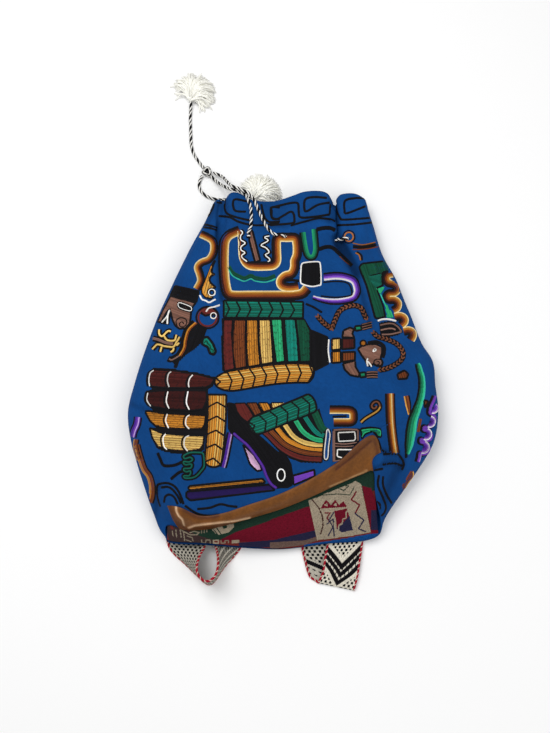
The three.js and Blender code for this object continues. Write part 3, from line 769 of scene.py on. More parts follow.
# Shapes of the base weave, in painting order: window, colour, line width or 0 for a filled shape, points.
BASE_SHAPES = [
    (WHOLE, "olive", 0, [(160, 505), (300, 500), (372, 466), (384, 486), (340, 506), (240, 540), (200, 540)]),
    (LOW_LEFT, "crimson", 0, [(940, 880), (1100, 800), (1300, 735), (1600, 628), (1600, 900), (1150, 885)]),
    (LOW_RIGHT, "crimson", 0, [(0, 782), (345, 662), (400, 880), (0, 980)]),
    (LOW_LEFT, "navy", 0, [(1120, 895), (1420, 872), (1600, 840), (1600, 925), (1130, 945)]),
    (LOW_RIGHT, "navy", 0, [(60, 950), (395, 872), (412, 925), (300, 965), (100, 985)]),
    (LOW_RIGHT, "umber", 0, [(0, 978), (300, 962), (410, 928), (420, 960), (300, 1000), (0, 1040)]),
    # Painted shade at the base's left end: a dark ground under darkened beige lines.
    (WHOLE, "dusk_shade", 0, [(162, 506), (172, 511), (184, 529), (200, 536), (214, 540), (214, 546), (170, 546)]),
    (WHOLE, "beige", 0, [(164, 509.5), (167, 511.5), (168, 515), (165.5, 515.5)]),
    (WHOLE, "olive", 0, [(165, 516), (168, 516.5), (169.5, 520.5), (166.5, 520)]),
    (WHOLE, "maroon", 0, [(168.5, 522), (171.5, 524), (174, 529.5), (171, 529)]),
    (WHOLE, "stone_shade", 1.0, [(169.8, 516.2), (173.8, 521.4), (178.9, 527.7), (183, 531.2), (187, 533)]),
    (WHOLE, "stone_shade", 1.0, [(172.5, 531), (173.2, 536)]),
    (WHOLE, "stone_shade", 1.0, [(175.8, 530), (176.6, 537)]),
    (WHOLE, "stone_shade", 1.0, [(180.1, 529.5), (181.2, 537)]),
    (WHOLE, "stone_shade", 1.0, [(183.5, 531.7), (184.7, 540.5)]),
    (WHOLE, "stone_shade", 0.9, [(187, 536), (192, 537.5), (193, 541)]),
    (WHOLE, "stone_shade", 0.9, [(186.5, 540), (191, 541.5)]),
    (WHOLE, "stone_shade", 1.1, [
        (184.5, 532), (190, 534.8), (196.7, 534.8), (199.2, 532.6), (194, 531.3), (190, 532.8),
    ]),
    (WHOLE, "stone_shade", 1.0, [(201.5, 530.4), (201.5, 533)]),
    (WHOLE, "stone_shade", 1.0, [(204.2, 530), (204.2, 532.6)]),
    (WHOLE, "stone_shade", 1.0, [(206.8, 529.6), (206.8, 532)]),
    (WHOLE, "beige", 0, [
        (211.7, 529.4), (222, 526), (233.5, 523.7), (234, 527), (228.9, 532.3), (217.4, 535.2),
    ]),
    (WHOLE, "olive", 0.9, [(213.5, 529.5), (218, 535)]),
    (WHOLE, "olive", 0.9, [(216.6, 528.3), (221.5, 534.6)]),
    (WHOLE, "olive", 0, [(222.2, 526.6), (224.5, 525), (227.5, 525.6), (226.8, 528), (223.8, 528.8)]),
    (WHOLE, "stone_shade", 1.0, [(201.5, 540), (202, 543), (205.5, 543), (206, 540), (210, 540), (210.3, 543.2)]),
    (WHOLE, "beige", 1.3, [(213.6, 540.4), (218.4, 540.2), (218.4, 543.2), (213.6, 543.2), (213.6, 540.4)]),
    (WHOLE, "stone_shade", 1.0, [
        (221, 540.6), (221, 543.2), (225, 543), (225, 540.6), (228.5, 540.4), (228.5, 542.8),
    ]),
    (WHOLE, "beige", 0, [(231.8, 540.2), (239.2, 539.8), (239.2, 543), (231.8, 543.4)]),
    (WHOLE, "crimson", 0, [(362, 486), (371, 488), (380, 512), (381, 536), (372, 536), (366, 505)]),
    (WHOLE, "navy", 0, [(371, 510), (379, 510), (381, 530), (371, 530)]),
    (WHOLE, "beige", 0, [(308.5, 500.6), (356, 481), (361, 484), (371, 533), (317, 541), (313, 520)]),
    (WHOLE, "olive", 0.9, [(308, 500), (322.6, 495), (338, 494), (349.7, 495), (354, 487.5)]),
    (WHOLE, "olive", 1.0, [(337, 488), (342, 485), (348.6, 486), (344, 490.5), (337, 488)]),
    (WHOLE, "wine", 1.2, [(312, 499.5), (319, 508), (322.6, 517), (323, 526), (320.5, 534)]),
    (WHOLE, "crimson", 0, [
        (320.5, 508.5), (326, 499.5), (331, 505), (335, 499.5), (339, 505), (343.5, 501), (347, 507),
    ]),
    (WHOLE, "beige", 1.0, [(325, 505), (327, 503.5), (327, 506), (325, 505)]),
    (WHOLE, "beige", 1.0, [(334, 505), (336, 503.5), (336, 506), (334, 505)]),
    (WHOLE, "crimson", 1.6, [(356.2, 491.9), (351.3, 499.5), (359.5, 504.9), (355.1, 513.6)]),
    (WHOLE, "navy", 1.4, [(355.1, 513.6), (363.8, 520.1), (358.4, 528.8), (365.5, 531.5)]),
    (WHOLE, "crimson", 0, [(334.5, 511), (347, 508.5), (349.5, 517), (337, 529)]),
    (WHOLE, "navy", 0, [(349.5, 516), (353, 530), (342, 532.5), (337, 529)]),
    (WHOLE, "beige", 1.3, [
        (338, 532), (339, 525), (342, 524), (343, 519), (346, 518), (346, 512), (348, 511),
    ]),
    (WHOLE, "crimson", 1.4, [(325, 513), (330, 513), (327, 518), (330, 522)]),
    (WHOLE, "navy", 1.3, [(334, 512), (329, 520), (333, 527), (328, 536)]),
    (WHOLE, "navy", 1.2, [(327, 524), (333, 519), (334, 536)]),
    (WHOLE, "maroon", 1.3, [(318, 540.8), (329, 539.4), (351, 536.6), (371, 533)]),
    (WHOLE, "blue", 0, [
        (304, 544.8), (318, 542.6), (329, 540.8), (337, 539.6), (351, 537.4), (362, 535), (371, 533.8),
        (382, 533), (384, 540), (364, 546), (340, 548), (304, 550),
    ]),
]


def woven_colours(points):
    at = photo_px(points)
    colours = np.tile(linear("maroon"), (len(at), 1))
    for window, colour, width, shape in BASE_SHAPES:
        chart = in_window(window, shape)
        chosen = line_distance(chart, at) < width / 2 if width else inside(chart, at)
        colours[chosen] = linear(colour)
    return colours


panel_outer, panel_inner = panel_grid()
panel_points, panel_faces = sheet_mesh(panel_outer, panel_inner)
panel_centres = panel_points[panel_faces].mean(axis=1)
panel_colours = flecked(woven_colours(panel_centres), PANEL_FLECK)
base_weave = add_piece(
    "base_weave", panel_points, panel_faces, WOVEN_WOOL, "woven_base",
    np.repeat(panel_colours, 4, axis=0), "CORNER", ["base_panel"],
)


# Leather strip round the front of the base, with rolled edges, folds, and lines of painted highlight and
# painted shade.
STRIP_FROM = 180 * 6 / 42
STRIP_TO_TOP = 153.5
STRIP_TO_LOW = 148
STRIP_TRIM = 2.2
STRIP_COLUMNS = 260
STRIP_ROWS = 22
STRIP_CROWN = 0.5
STRIP_RIPPLE = 0.3
STRIP_ROLL = 12
STRIP_END = 1.2
STRIP_THIN = 0.35
STRIP_FLECK = 0.05
# Waves of the leather's height and tone: length and slant of the first wave, length and start of the second.
STRIP_WAVES = (3.1, 5, 7.3, 0)
STRIP_TONES = (2.3, 4, 5.1, 2)
STRIP_TONE = 0.12
# A corner of the strip that stands up on the right: angle, reach, rise.
STRIP_CORNER = (33, 6, 0.013)
# Lines along the leather: window, width in pixels, rise, tint, its strength, points. The shine and tan tints
# are painted highlights on rolled edges; the bark tints are painted shade in folds and on turned-away facets.
STRIP_RIDGES_AND_PAINTED_LIGHT = [
    (WHOLE, 0.9, 0.9, "shine", 0.9, [
        (175.5, 505.9), (176.6, 511.1), (178.9, 515.7), (182.4, 519.1), (184.1, 524.9),
    ]),
    (WHOLE, 0.9, 0.8, "shine", 0.85, [
        (188.7, 527.7), (194.4, 525.4), (208.8, 523.7), (223.1, 522), (237.5, 520.3), (249.6, 517.4),
    ]),
    (WHOLE, 0.8, 0.5, "tan_highlight", 0.7, [(329.7, 486.5), (341, 482), (352.6, 477), (367, 470.4)]),
    (WHOLE, 3.2, 0.5, "bark", 0.5, [(336, 465.8), (346, 458), (355.5, 449.5), (370, 437)]),
    (WHOLE, 1.2, -0.8, "bark", 0.8, [(336, 469.6), (348, 460.4), (358.4, 452), (371.6, 441)]),
    (WHOLE, 1.8, 0.0, "bark", 0.6, [(374.5, 440), (377.5, 452), (377, 463), (374, 468)]),
    (WHOLE, 3.4, -0.4, "bark", 0.65, [(169, 508), (173, 517), (179, 526)]),
    (WHOLE, 2.2, -0.4, "bark", 0.7, [(183.5, 510), (195, 516.3), (207.6, 518), (218, 516)]),
    (WHOLE, 1.6, -0.3, "bark", 0.6, [(183, 527.5), (187, 530), (205, 528), (230, 524)]),
]


def strip_wave(waves, angle, share):
    length, slant, other, start = waves
    return np.sin(angle / length + slant * share) * np.sin(angle / other + start)


def strip_grid():
    low = np.linspace(0, 1, STRIP_COLUMNS)[None, :]
    share = np.linspace(0, 1, STRIP_ROWS)[:, None]
    first = STRIP_FROM + STRIP_TRIM * np.sin(np.pi * share)
    last = mix(STRIP_TO_LOW, STRIP_TO_TOP, np.sqrt(share))
    angle = mix(first, last, low)
    share = np.broadcast_to(share, angle.shape)
    corner, reach, height = STRIP_CORNER
    v = share * SHOULDER_AT + height * share**2 * np.exp(-(((angle - corner) / reach) ** 2))
    rolled = np.sqrt(clamp01(STRIP_ROLL * share * (1 - share)))
    ends = clamp01(np.minimum(angle - first, last - angle) / STRIP_END)
    waves = STRIP_RIPPLE * strip_wave(STRIP_WAVES, angle, share)
    thick = LEATHER * mix(STRIP_THIN, 1, rolled * np.sqrt(ends))
    thick = thick + STRIP_CROWN * np.sin(np.pi * share) + waves * rolled
    normal = body_normal(angle, v)
    ground = body_point(angle, v)
    colours = np.tile(linear("leather"), angle.shape + (1,))
    seen = photo_px(ground + normal * (GAP + LEATHER))
    for window, width, rise, tint, strength, line in STRIP_RIDGES_AND_PAINTED_LIGHT:
        near = np.exp(-((line_distance(in_window(window, line), seen) / width) ** 2))
        thick = thick + rise * near * rolled
        # Painted highlights from the shine and tan tints, painted shade from the bark tints.
        colours = mix(colours, linear(tint), strength * near[..., None])
    patchy = 1 + STRIP_TONE * strip_wave(STRIP_TONES, angle, share)
    return ground + normal * (GAP + thick)[..., None], ground + normal * GAP, colours * patchy[..., None]


strip_outer, strip_inner, strip_colours = strip_grid()
strip_colours = flecked(np.tile(strip_colours.reshape(-1, 3), (2, 1)), STRIP_FLECK)
leather_strip = add_piece(
    "leather_strip", *sheet_mesh(strip_outer, strip_inner), BROWN_LEATHER, "leather_brown", strip_colours,
    replaces=["base_trim"],
)


# Straps: the two edges of each band, outer and inner, from the sewn end to the top of the back.
STRAP_LEFT = [
    (-171, -212, 0.9, -114, -212, 3),
    (-171, -231, 0.9, -115, -234, 14),
    (-163, -245, 0.9, -121, -249, 35),
    (-144, -262, 0.9, -124, -263, 49),
    (-128, -277, 0.9, -122.5, -274, 54),
    (-116, -288, 0.9, -115, -283, 55),
    (-108, -291, 0.9, -108.5, -285, 55),
    (-101, -286, 0.9, -102, -282, 55),
    (-93, -274, 0.9, -96, -274, 54),
    (-84, -262, 0.9, -94, -263, 50),
    (-73, -250, 0.9, -95, -249, 37),
    (-62, -235, 0.9, -100, -234, 15),
    (-57, -215, 0.9, -107, -215, 5),
    (-56, -190, 0.9, -113, -190, 0.9),
    (-56, -150, 0.9, -113, -150, 0.9),
    (-48, 0, 0.9, -105, 0, 0.9),
    (-6, 205, 0.9, -62, 205, 0.9),
]
STRAP_RIGHT = [
    (119, -218, 3.3, 69, -222, 3.3),
    (117, -232, 4.4, 66, -236, 4.4),
    (113, -256, 7.2, 62, -254, 7.2),
    (109, -279, 7.0, 60, -270, 7.0),
    (105.5, -293, 5.4, 55, -283, 5.4),
    (104, -298, 4.0, 53, -287.5, 4.0),
    (103.5, -299, 2.9, 52, -288.5, 2.9),
    (103, -298.2, 1.7, 51, -287.8, 1.7),
    (102, -295, 0.9, 48, -285.5, 0.9),
    (98, -282, 0.9, 40, -280, 0.9),
    (92, -262, 0.9, 34, -262, 0.9),
    (87, -238, 0.9, 29, -238, 0.9),
    (85, -150, 0.9, 28, -150, 0.9),
    (80, 0, 0.9, 23, 0, 0.9),
    (64, 205, 0.9, 7, 205, 0.9),
]
STRAP = 1.8
STRAP_CELL = 1.25
STRAP_CELLS = 45
# Fine rows go on this far past the turn, then a few long rows lie under the bag.
STRAP_SEEN = 90
STRAP_UNDER = 80
STRAP_BUMP = 0.25
STRAP_FLOOR = 0.02
STRAP_FLECK = 0.12
# Patterns are in cells. Dashes: rows, black rows, columns, black columns.
DASHES = (4, 3, 6, 3)
# Slanting lines: columns and black columns of the dashes, pitch and width of the pale lines.
SLANTS = (3, 2, 14, 3)
SEAM_COLUMNS = 4
LEFT_TURN = 119
RIGHT_TURN = 81
# Arrow bands of the right strap, in millimetres along it, and the fields of dots before and after them.
ARROW_BANDS = [(41, 50.5), (53.5, 62.5), (65.5, 75)]
DOTS_UNTIL = 33
DOTS_AFTER = 81
# The same past the turn: rows of dots, a black band, then dots.
BACK_ROWS = [(3, 5.5), (12, 14.5)]
BACK_BAND = (19, 26)
BACK_DOTS = 29
BACK_SLOPE = 0.5
# Painted light and shade: share of the pale yarn's brightness before and after the turn, lower where a run
# lies in shade.
LEFT_PAINTED_LIGHT = (0.66, 0.8)
RIGHT_PAINTED_LIGHT = (1.05, 0.7)


def dots(i, j):
    """Staggered rows of dashes."""
    rows, black_rows, columns, black_columns = DASHES
    staggered = j + black_columns * (i // rows % 2)
    return (i % rows < black_rows) & (staggered % columns < black_columns)


def between(bands, at):
    return np.any([(at >= start) & (at < stop) for start, stop in bands], axis=0)


def slanted(i, j):
    """Dashes cut by slanting pale lines."""
    columns, black_columns, pitch, pale = SLANTS
    return (j % columns < black_columns) & ((i + j) % pitch > pale)


def arrows(i, j):
    at = (i + np.abs(j - (STRAP_CELLS - 1) / 2)) * STRAP_CELL
    seams = between([(ARROW_BANDS[0][1], ARROW_BANDS[-1][0])], at) & (j % SEAM_COLUMNS == 0)
    field = ((at < DOTS_UNTIL) | (at > DOTS_AFTER)) & dots(i, j)
    return between(ARROW_BANDS, at) | seams | field


def arrows_back(i, j):
    at = i * STRAP_CELL - RIGHT_TURN - BACK_SLOPE * np.abs(j - (STRAP_CELLS - 1) / 2) * STRAP_CELL
    columns, black_columns = DASHES[2:]
    dashes = between(BACK_ROWS, at) & (j % columns < black_columns)
    return dashes | between([BACK_BAND], at) | ((at > BACK_DOTS) & dots(i, j))


def strap_piece(name, table, turn, patterns, painted_light, node):
    """A woven band whose pattern and painted shade change where it turns back."""
    rows = np.array(table, float)
    middle = (rows[:, :3] + rows[:, 3:]) / 2
    along = np.append(0, np.cumsum(np.linalg.norm(np.diff(middle, axis=0), axis=1)))
    seen = turn + STRAP_SEEN
    stations = np.append(np.arange(0, seen, STRAP_CELL), np.linspace(seen, along[-1], STRAP_UNDER))
    cells = len(stations) - 1
    edges = reader(along, rows)(stations)
    share = np.linspace(0, 1, STRAP_CELLS + 1)
    ground = mix(edges[:, None, :3], edges[:, None, 3:], share[None, :, None])
    face = unit(np.cross(np.gradient(ground, axis=0), edges[:, None, 3:] - edges[:, None, :3]))
    pebble = STRAP_BUMP * (np.add.outer(np.arange(cells + 1), np.arange(STRAP_CELLS + 1)) % 2)
    outer = ground + face * (STRAP / 2 + pebble)[..., None]
    inner = ground - face * (STRAP / 2 + pebble)[..., None]
    outer[..., 2] = np.maximum(outer[..., 2], STRAP_FLOOR)
    inner[..., 2] = np.maximum(inner[..., 2], STRAP_FLOOR)
    points, faces = sheet_mesh(outer, inner)
    row, j = np.divmod(np.arange(cells * STRAP_CELLS), STRAP_CELLS)
    i = (stations[row] / STRAP_CELL).astype(int)
    turned = i * STRAP_CELL > turn
    black = np.where(turned, patterns[1](i, j), patterns[0](i, j))
    # The pale yarn carries the painted light and shade of each run.
    pale = linear("ivory") * np.where(turned, painted_light[1], painted_light[0])[:, None]
    one_side = np.where(black[:, None], linear("black"), pale)
    rims = np.tile(linear("red"), (len(faces) - 2 * len(one_side), 1))
    colours = np.repeat(flecked(np.vstack([one_side, one_side, rims]), STRAP_FLECK), 4, axis=0)
    strap = add_piece(name, points, faces, WOVEN_WOOL, "woven_strap", colours, "CORNER", [node])
    return strap, edges, along[-1]


EDGE_RADIUS = 1.8
EDGE_PITCH = 8.0
EDGE_STEP = 1.7
EDGE_LIFT = 0.15
EDGE_STRANDS = ["red", "red", "ivory", "red", "red"]


def strap_edges(name, edges):
    """A red and white chain along both edges of a strap."""
    sets = []
    for first in (0, 3):
        path = edges[:, first : first + 3].copy()
        path[:, 2] = np.maximum(path[:, 2], EDGE_RADIUS + EDGE_LIFT)
        sets.append(rope(evenly(path, EDGE_STEP), EDGE_RADIUS, EDGE_PITCH, EDGE_STRANDS))
    return joined(name, sets, WOVEN_WOOL, "woven_strap")


def joined(name, sets, material, slot, replaces=()):
    first = 0
    faces = []
    for points, quads, _ in sets:
        faces.append(quads + first)
        first += len(points)
    points = np.vstack([part[0] for part in sets])
    colours = np.vstack([part[2] for part in sets])
    return add_piece(name, points, np.vstack(faces), material, slot, colours, replaces=replaces)


strap_left, left_edges, left_length = strap_piece(
    "strap_left_weave", STRAP_LEFT, LEFT_TURN, (dots, slanted), LEFT_PAINTED_LIGHT, "strap_left"
)
strap_right, right_edges, right_length = strap_piece(
    "strap_right_weave", STRAP_RIGHT, RIGHT_TURN, (arrows, arrows_back), RIGHT_PAINTED_LIGHT, "strap_right"
)
left_binding = strap_edges("strap_left_edges", left_edges)
right_binding = strap_edges("strap_right_edges", right_edges)


# Drawcord: rows of x, y and z, where None lies on the cloth.
LEAD_RIGHT = [
    (-8, 225.5, None), (-17, 230, None), (-26, 243, None), (-35, 263, None), (-41, 278, None), (-47, 290, 50),
    (-56, 297, 52.5), (-68, 303, 51.5), (-79, 309.5, 46), (-87, 322, 31), (-95.5, 336, 15),
    (-109.1, 344.7, 7.8),
]
LEAD_LEFT = [
    (-53, 228.5, None), (-49, 240, None), (-48, 255, None), (-49, 272, None), (-53, 285.5, None),
    (-58, 295, 46.2), (-69, 302, 44.5), (-82, 307, 38), (-94, 318, 24), (-104, 329, 11),
    (-113.4, 340.2, 5.6),
]
TAIL_LONG = [
    (-124.9, 354, 4.1), (-130, 361, 2.7), (-140, 376, 2.5), (-145, 391, 2.5), (-146.5, 415, 2.5),
    (-147.5, 440, 2.5), (-146.3, 465.1, 6.1),
]
TAIL_SHORT = [
    (-126.8, 341.3, 3.6), (-130.5, 335, 2.6), (-132, 325, 2.5), (-128, 315, 2.5), (-118, 307, 2.5),
    (-104, 302.5, 2.5), (-86, 302, 2.5), (-66, 303, 3.2), (-49.8, 303.7, 6.5),
]
# The cord inside the neck: angle, and 1 outside the cloth or -1 inside.
NECK_TURNS = [
    (93, 1), (92, 1), (88, -1), (58, -1), (55.5, 1), (49.5, 1), (47, -1), (-224, -1), (-244, -1), (-247, 1),
    (-248, 1),
]
NECK_STEPS = 360
NECK_DEEPER = 3.5
CORD_STEP = 1.2
NECK_STEP = 2.0
CORD_PITCH = 19.0
CORD_STRANDS = ["black", "white", "black", "white", "black"]
KNOT_AT = np.array([-119.3, 346.8, 6.3])
KNOT_SIZE = 3.0
KNOT_TIGHT = 0.72
KNOT_TALL = 1.1
KNOT_STEPS = 120
KNOT_TURN = math.radians(40)


def seated(rows):
    seat = CORD_RADIUS + CORD_LIFT
    return np.array([(x, y, cloth_height(x, y) + seat if z is None else z) for x, y, z in rows], float)


def neck_path():
    keys = np.array([-angle for angle, _ in NECK_TURNS], float)
    sides = np.array([side for _, side in NECK_TURNS], float)
    key = np.linspace(keys[0], keys[-1], NECK_STEPS)
    k = np.clip(np.searchsorted(keys, key) - 1, 0, len(keys) - 2)
    side = mix(sides[k], sides[k + 1], ease((key - keys[k]) / (keys[k + 1] - keys[k])))
    seam_y = seam_at(-key)[..., 1]
    v = (NECK_Y - seam_y) / (mouth_y(-key) - seam_y)
    outside = CORD_RADIUS + CORD_LIFT
    distance = mix(-(CLOTH + NECK_DEEPER + outside), outside, (side + 1) / 2)
    return body_offset(-key, v, distance)


def cord_piece(name, path, node):
    points, faces, colours = rope(path, CORD_RADIUS, CORD_PITCH, CORD_STRANDS)
    return add_piece(name, points, faces, CORD_WOOL, "cord_braid", colours, replaces=[node])


def knot_path():
    """A trefoil, drawn tight."""
    turn = np.linspace(0, 2 * math.pi, KNOT_STEPS)
    x = np.sin(turn) + 2 * np.sin(2 * turn)
    y = np.cos(turn) - 2 * np.cos(2 * turn)
    z = -np.sin(3 * turn) * KNOT_TALL
    across = x * math.cos(KNOT_TURN) - y * math.sin(KNOT_TURN)
    along = x * math.sin(KNOT_TURN) + y * math.cos(KNOT_TURN)
    return KNOT_AT + np.column_stack([across, along, z]) * KNOT_SIZE * KNOT_TIGHT


FREE_CORDS = {
    "cord_lead_left": LEAD_LEFT,
    "cord_lead_right": LEAD_RIGHT,
    "cord_tail_long": TAIL_LONG,
    "cord_tail_short": TAIL_SHORT,
}
cord_paths = {name: path_through(seated(rows), CORD_STEP) for name, rows in FREE_CORDS.items()}
cords = {name: cord_piece(name, path, "draw" + name) for name, path in cord_paths.items()}
cord_piece("cord_neck", evenly(neck_path(), NECK_STEP), "drawcord_neck")
cord_knot = cord_piece("cord_knot", evenly(knot_path(), CORD_STEP), "drawcord_knot")


# Tassels of white wool: a bound head and a fan of strands that bow down to the floor.
TASSEL_STRANDS = 340
TASSEL_STEPS = 8
TASSEL_LENGTH = 42
TASSEL_SPREAD = 165
TASSEL_ARCH = 20
TASSEL_HEAD = 6.0
TASSEL_HEAD_SPREAD = 0.45
TASSEL_DRAW_IN = 0.4
# Strands: radius, share of it at the tip, spread of their bends in degrees, and tones.
STRAND_RADIUS = 1.0
STRAND_TIP = 0.7
STRAND_BEND = 9
STRAND_TONES = (0.95, 1.0)
# The outer strands' share of the length and of the arch, and the shortest strand's share.
OUTER_LENGTH = 0.74
OUTER_ARCH = 0.35
SHORT_STRAND = 0.82
# How the strands fall: power of the random arch, speed of the fall, and the arch's length and roundness.
ARCH_POWER = 0.3
FALL_SPEED = 1.4
ARCH_LENGTH = 1.06
ARCH_ROUND = 0.9
# Heights of the strands' tips over the floor: lowest, range and least.
TIP_LOW = 1.2
TIP_RANGE = 3.5
TIP_LEAST = 0.8
# Thread round the head: turns, steps, reach and roundness as shares of the head, radius and flecks.
BINDING_TURNS = 7
BINDING_STEPS = 220
BINDING_REACH = 0.85
BINDING_ROUND = 0.8
BINDING_RADIUS = 0.95
BINDING_FLECK = 0.05
# Tassels: place of the head, and the way the strands point in degrees.
TASSEL_PLACES = {
    "tassel_short": ((-43, 304, 8), 36),
    "tassel_long": ((-146, 472, 7.2), 58),
}


def tassel_piece(name, at, toward):
    at = np.array(at, float)
    share = rng.random(TASSEL_STRANDS)
    turn = np.radians(toward + TASSEL_SPREAD * (share - 0.5))
    inner = np.sin(math.pi * share)
    short = rng.uniform(SHORT_STRAND, 1.0, TASSEL_STRANDS)
    reach = TASSEL_LENGTH * mix(OUTER_LENGTH, 1.0, inner) * short
    arch = TASSEL_ARCH * rng.uniform(0.0, 1.0, TASSEL_STRANDS) ** ARCH_POWER * mix(OUTER_ARCH, 1.0, inner)
    t = np.linspace(0, 1, TASSEL_STEPS)[None, :]
    bend = np.radians(rng.normal(0, STRAND_BEND, TASSEL_STRANDS))
    aim = turn[:, None] + bend[:, None] * t * 2
    out = reach[:, None] * t
    tips = TIP_LOW + TIP_RANGE * rng.random(TASSEL_STRANDS)[:, None]
    rest = mix(at[2], tips, ease(t * FALL_SPEED))
    height = rest + arch[:, None] * np.sin(np.pi * np.minimum(1, t * ARCH_LENGTH)) ** ARCH_ROUND
    start = rng.normal(0, TASSEL_HEAD_SPREAD, (TASSEL_STRANDS, 2)) * TASSEL_HEAD
    kept = 1 - TASSEL_DRAW_IN * t
    x = at[0] + start[:, :1] * kept + np.cos(aim) * out
    y = at[1] + start[:, 1:] * kept + np.sin(aim) * out
    centres = np.stack([x, y, np.maximum(height, TIP_LEAST)], -1)
    tangent = unit(np.gradient(centres, axis=1))
    side = unit(np.cross(tangent, np.array([0, 0, 1.0])))
    radii = np.full((TASSEL_STRANDS, TASSEL_STEPS), STRAND_RADIUS)
    radii[:, -1] *= STRAND_TIP
    points, faces = tubes(centres, side, np.cross(side, tangent), radii)
    tone = np.repeat(rng.uniform(*STRAND_TONES, TASSEL_STRANDS), TASSEL_STEPS * TUBE_SIDES)
    sets = [(points, faces, np.clip(linear("wool") * tone[:, None], 0, 1))]
    sets.append(binding(at))
    return joined(name + "_wool", sets, WHITE_WOOL, "wool_white", [name])


def binding(at):
    """Thread wound round the head of a tassel."""
    turns = np.linspace(0, BINDING_TURNS * 2 * math.pi, BINDING_STEPS)
    height = np.linspace(-BINDING_REACH, BINDING_REACH, BINDING_STEPS)
    wide = TASSEL_HEAD * np.sqrt(1 - height**2 * BINDING_ROUND)
    path = at + np.column_stack([wide * np.cos(turns), wide * np.sin(turns), height * TASSEL_HEAD])
    _, side, up = path_frames(path)
    points, faces = tubes(path[None], side[None], up[None], np.full((1, len(path)), BINDING_RADIUS))
    return points, faces, flecked(np.tile(linear("wool"), (len(points), 1)), BINDING_FLECK)


tassels = {name: tassel_piece(name, at, toward) for name, (at, toward) in TASSEL_PLACES.items()}


# Embroidery: stitches charted in pixels of the photograph and laid on the cloth along the camera's rays.
CHART_STEP = 0.5
THREAD_PX = 1.15
LINE_STITCH_PX = 4.2
FILL_STITCH_PX = 6.5
OVERLAP_PX = 0.7
COVER = 1.45
BAND_COVER = 1.65
UNDER_COVER = 1.9
SAMPLES = 5
STITCH_HEIGHT = 0.55
LAYER_LIFT = 0.2
OUTLINE_PX = 2.6
ARROW_PX = 2.4
KEY_PX = 2.7
UNDER = -1
MAX_STRETCH = 6.0
THIN_SHARE = 0.3
MIN_THREAD_PX = 0.6
GROOVE_PX = 0.75
CUT_SHIFT = 0.3
STITCH_SINK = -0.15
STRETCH_SLACK = 0.5
RING_STEPS = 14
HALF_RING_STEPS = 18
ACROSS = np.array([-1, -0.6, 0, 0.6, 1])
ARCH = np.array([-0.45, 0.7, 1, 0.7, -0.45])
END_DIP = np.array([0.4, 0.95, 1, 0.95, 0.4])
END_NARROW = np.array([0.75, 0.97, 1, 0.97, 0.75])
ROW_TONES = (0.66, 1.16)
STITCH_TONES = (0.92, 1.07)

# Rows of shaded bands, from one side to the other: colour, width in pixels.
FLAME = [("black", 2.2), ("bark", 1.7), ("rust", 1.9), ("orange", 1.7), ("gold", 1.3), ("cream", 1.0)]
FLAME_IN = FLAME[::-1]
SMALL_FLAME = [("cream", 1.1), ("gold", 1.1), ("orange", 1.2), ("rust", 1.2), ("bark", 1.0), ("black", 1.8)]
LEAF = [("black", 1.6), ("pine", 1.4), ("green", 1.5), ("mint", 1.3)]
SPEAR_ROWS = [("black", 1.6), ("pine", 1.8), ("green", 2.4), ("mint", 1.3), ("aqua", 1.3)]
# Rows of half rings, from the middle out.
PETAL = [("indigo", 1.6), ("purple", 1.7), ("violet", 1.6), ("lilac", 1.1), ("white", 1.0)]
VIOLET = [("white", 1.2), ("lilac", 1.0), ("violet", 1.8), ("purple", 2.0), ("black", 1.8)]
UPRIGHT_ROWS = [
    ("black", 1.7), ("bark", 1.1), ("rust", 1.6), ("orange", 1.3), ("gold", 1.0),
    ("cream", 0.9), ("orange", 0.9), ("rust", 0.9), ("black", 1.3),
]
# Colours of the two halves of a feathered band, and of the dark lines between its rows.
GREENS = (["leaf", "leaf", "teal"], ["leaf", "teal", "leaf"], "pine")
GOLDS = (["amber", "amber", "gold"], ["gold", "amber", "sand"], "bark")
# Dark lines between the rows of a fill.
GROOVES = {"amber": "bark", "sand": "rust", "gold": "bark", "brown": "bark"}

stitches = []


def group(name):
    stitches.append((name, []))


def dense(window, points, sharp=False, closed=False):
    path = in_window(window, points)
    if closed:
        path = np.vstack([path, path[:1]])
    return evenly(path, CHART_STEP) if sharp or len(path) < 3 else path_through(path, CHART_STEP)


def shifted(path, distance):
    run = unit(np.gradient(path, axis=0))
    return path + np.column_stack([run[:, 1], -run[:, 0]]) * np.reshape(distance, (-1, 1))


def rounding(path, caps):
    """Share of a band's width along its path, with ends rounded off over these lengths."""
    along = np.linspace(0, path_length(path), len(path))
    share = np.ones(len(path))
    for cap, away in zip(caps, (along, along[::-1])):
        if cap:
            share = np.minimum(share, np.sqrt(clamp01(1 - (1 - np.minimum(away / cap, 1)) ** 2)))
    return along, share


def lay_thread(path, width, colour, layer, stitch):
    along = np.append(0, np.cumsum(np.linalg.norm(np.diff(path, axis=0), axis=1)))
    total = along[-1]
    if len(path) < 2 or total < MIN_THREAD_PX:
        return
    count = max(1, int(round(total / stitch)))
    cuts = np.linspace(0, total, count + 1)
    cuts[1:-1] += rng.uniform(-CUT_SHIFT, CUT_SHIFT, count - 1) * total / count
    shade = linear(colour) * rng.uniform(*ROW_TONES)
    for start, stop in zip(cuts, cuts[1:]):
        at = np.clip(np.linspace(start - OVERLAP_PX, stop + OVERLAP_PX, SAMPLES), 0, total)
        points = np.column_stack([np.interp(at, along, path[:, 0]), np.interp(at, along, path[:, 1])])
        stitches[-1][1].append((points, width, layer, shade * rng.uniform(*STITCH_TONES)))


def line(window, colour, width, points, layer=2, sharp=False, closed=False):
    path = dense(window, points, sharp, closed)
    rows = max(1, int(round(width / THREAD_PX)))
    wide = min(width, width / rows * COVER)
    for place in np.linspace(-0.5, 0.5, rows) if rows > 1 else [0]:
        lay_thread(shifted(path, place * (width - wide)), wide, colour, layer, LINE_STITCH_PX)


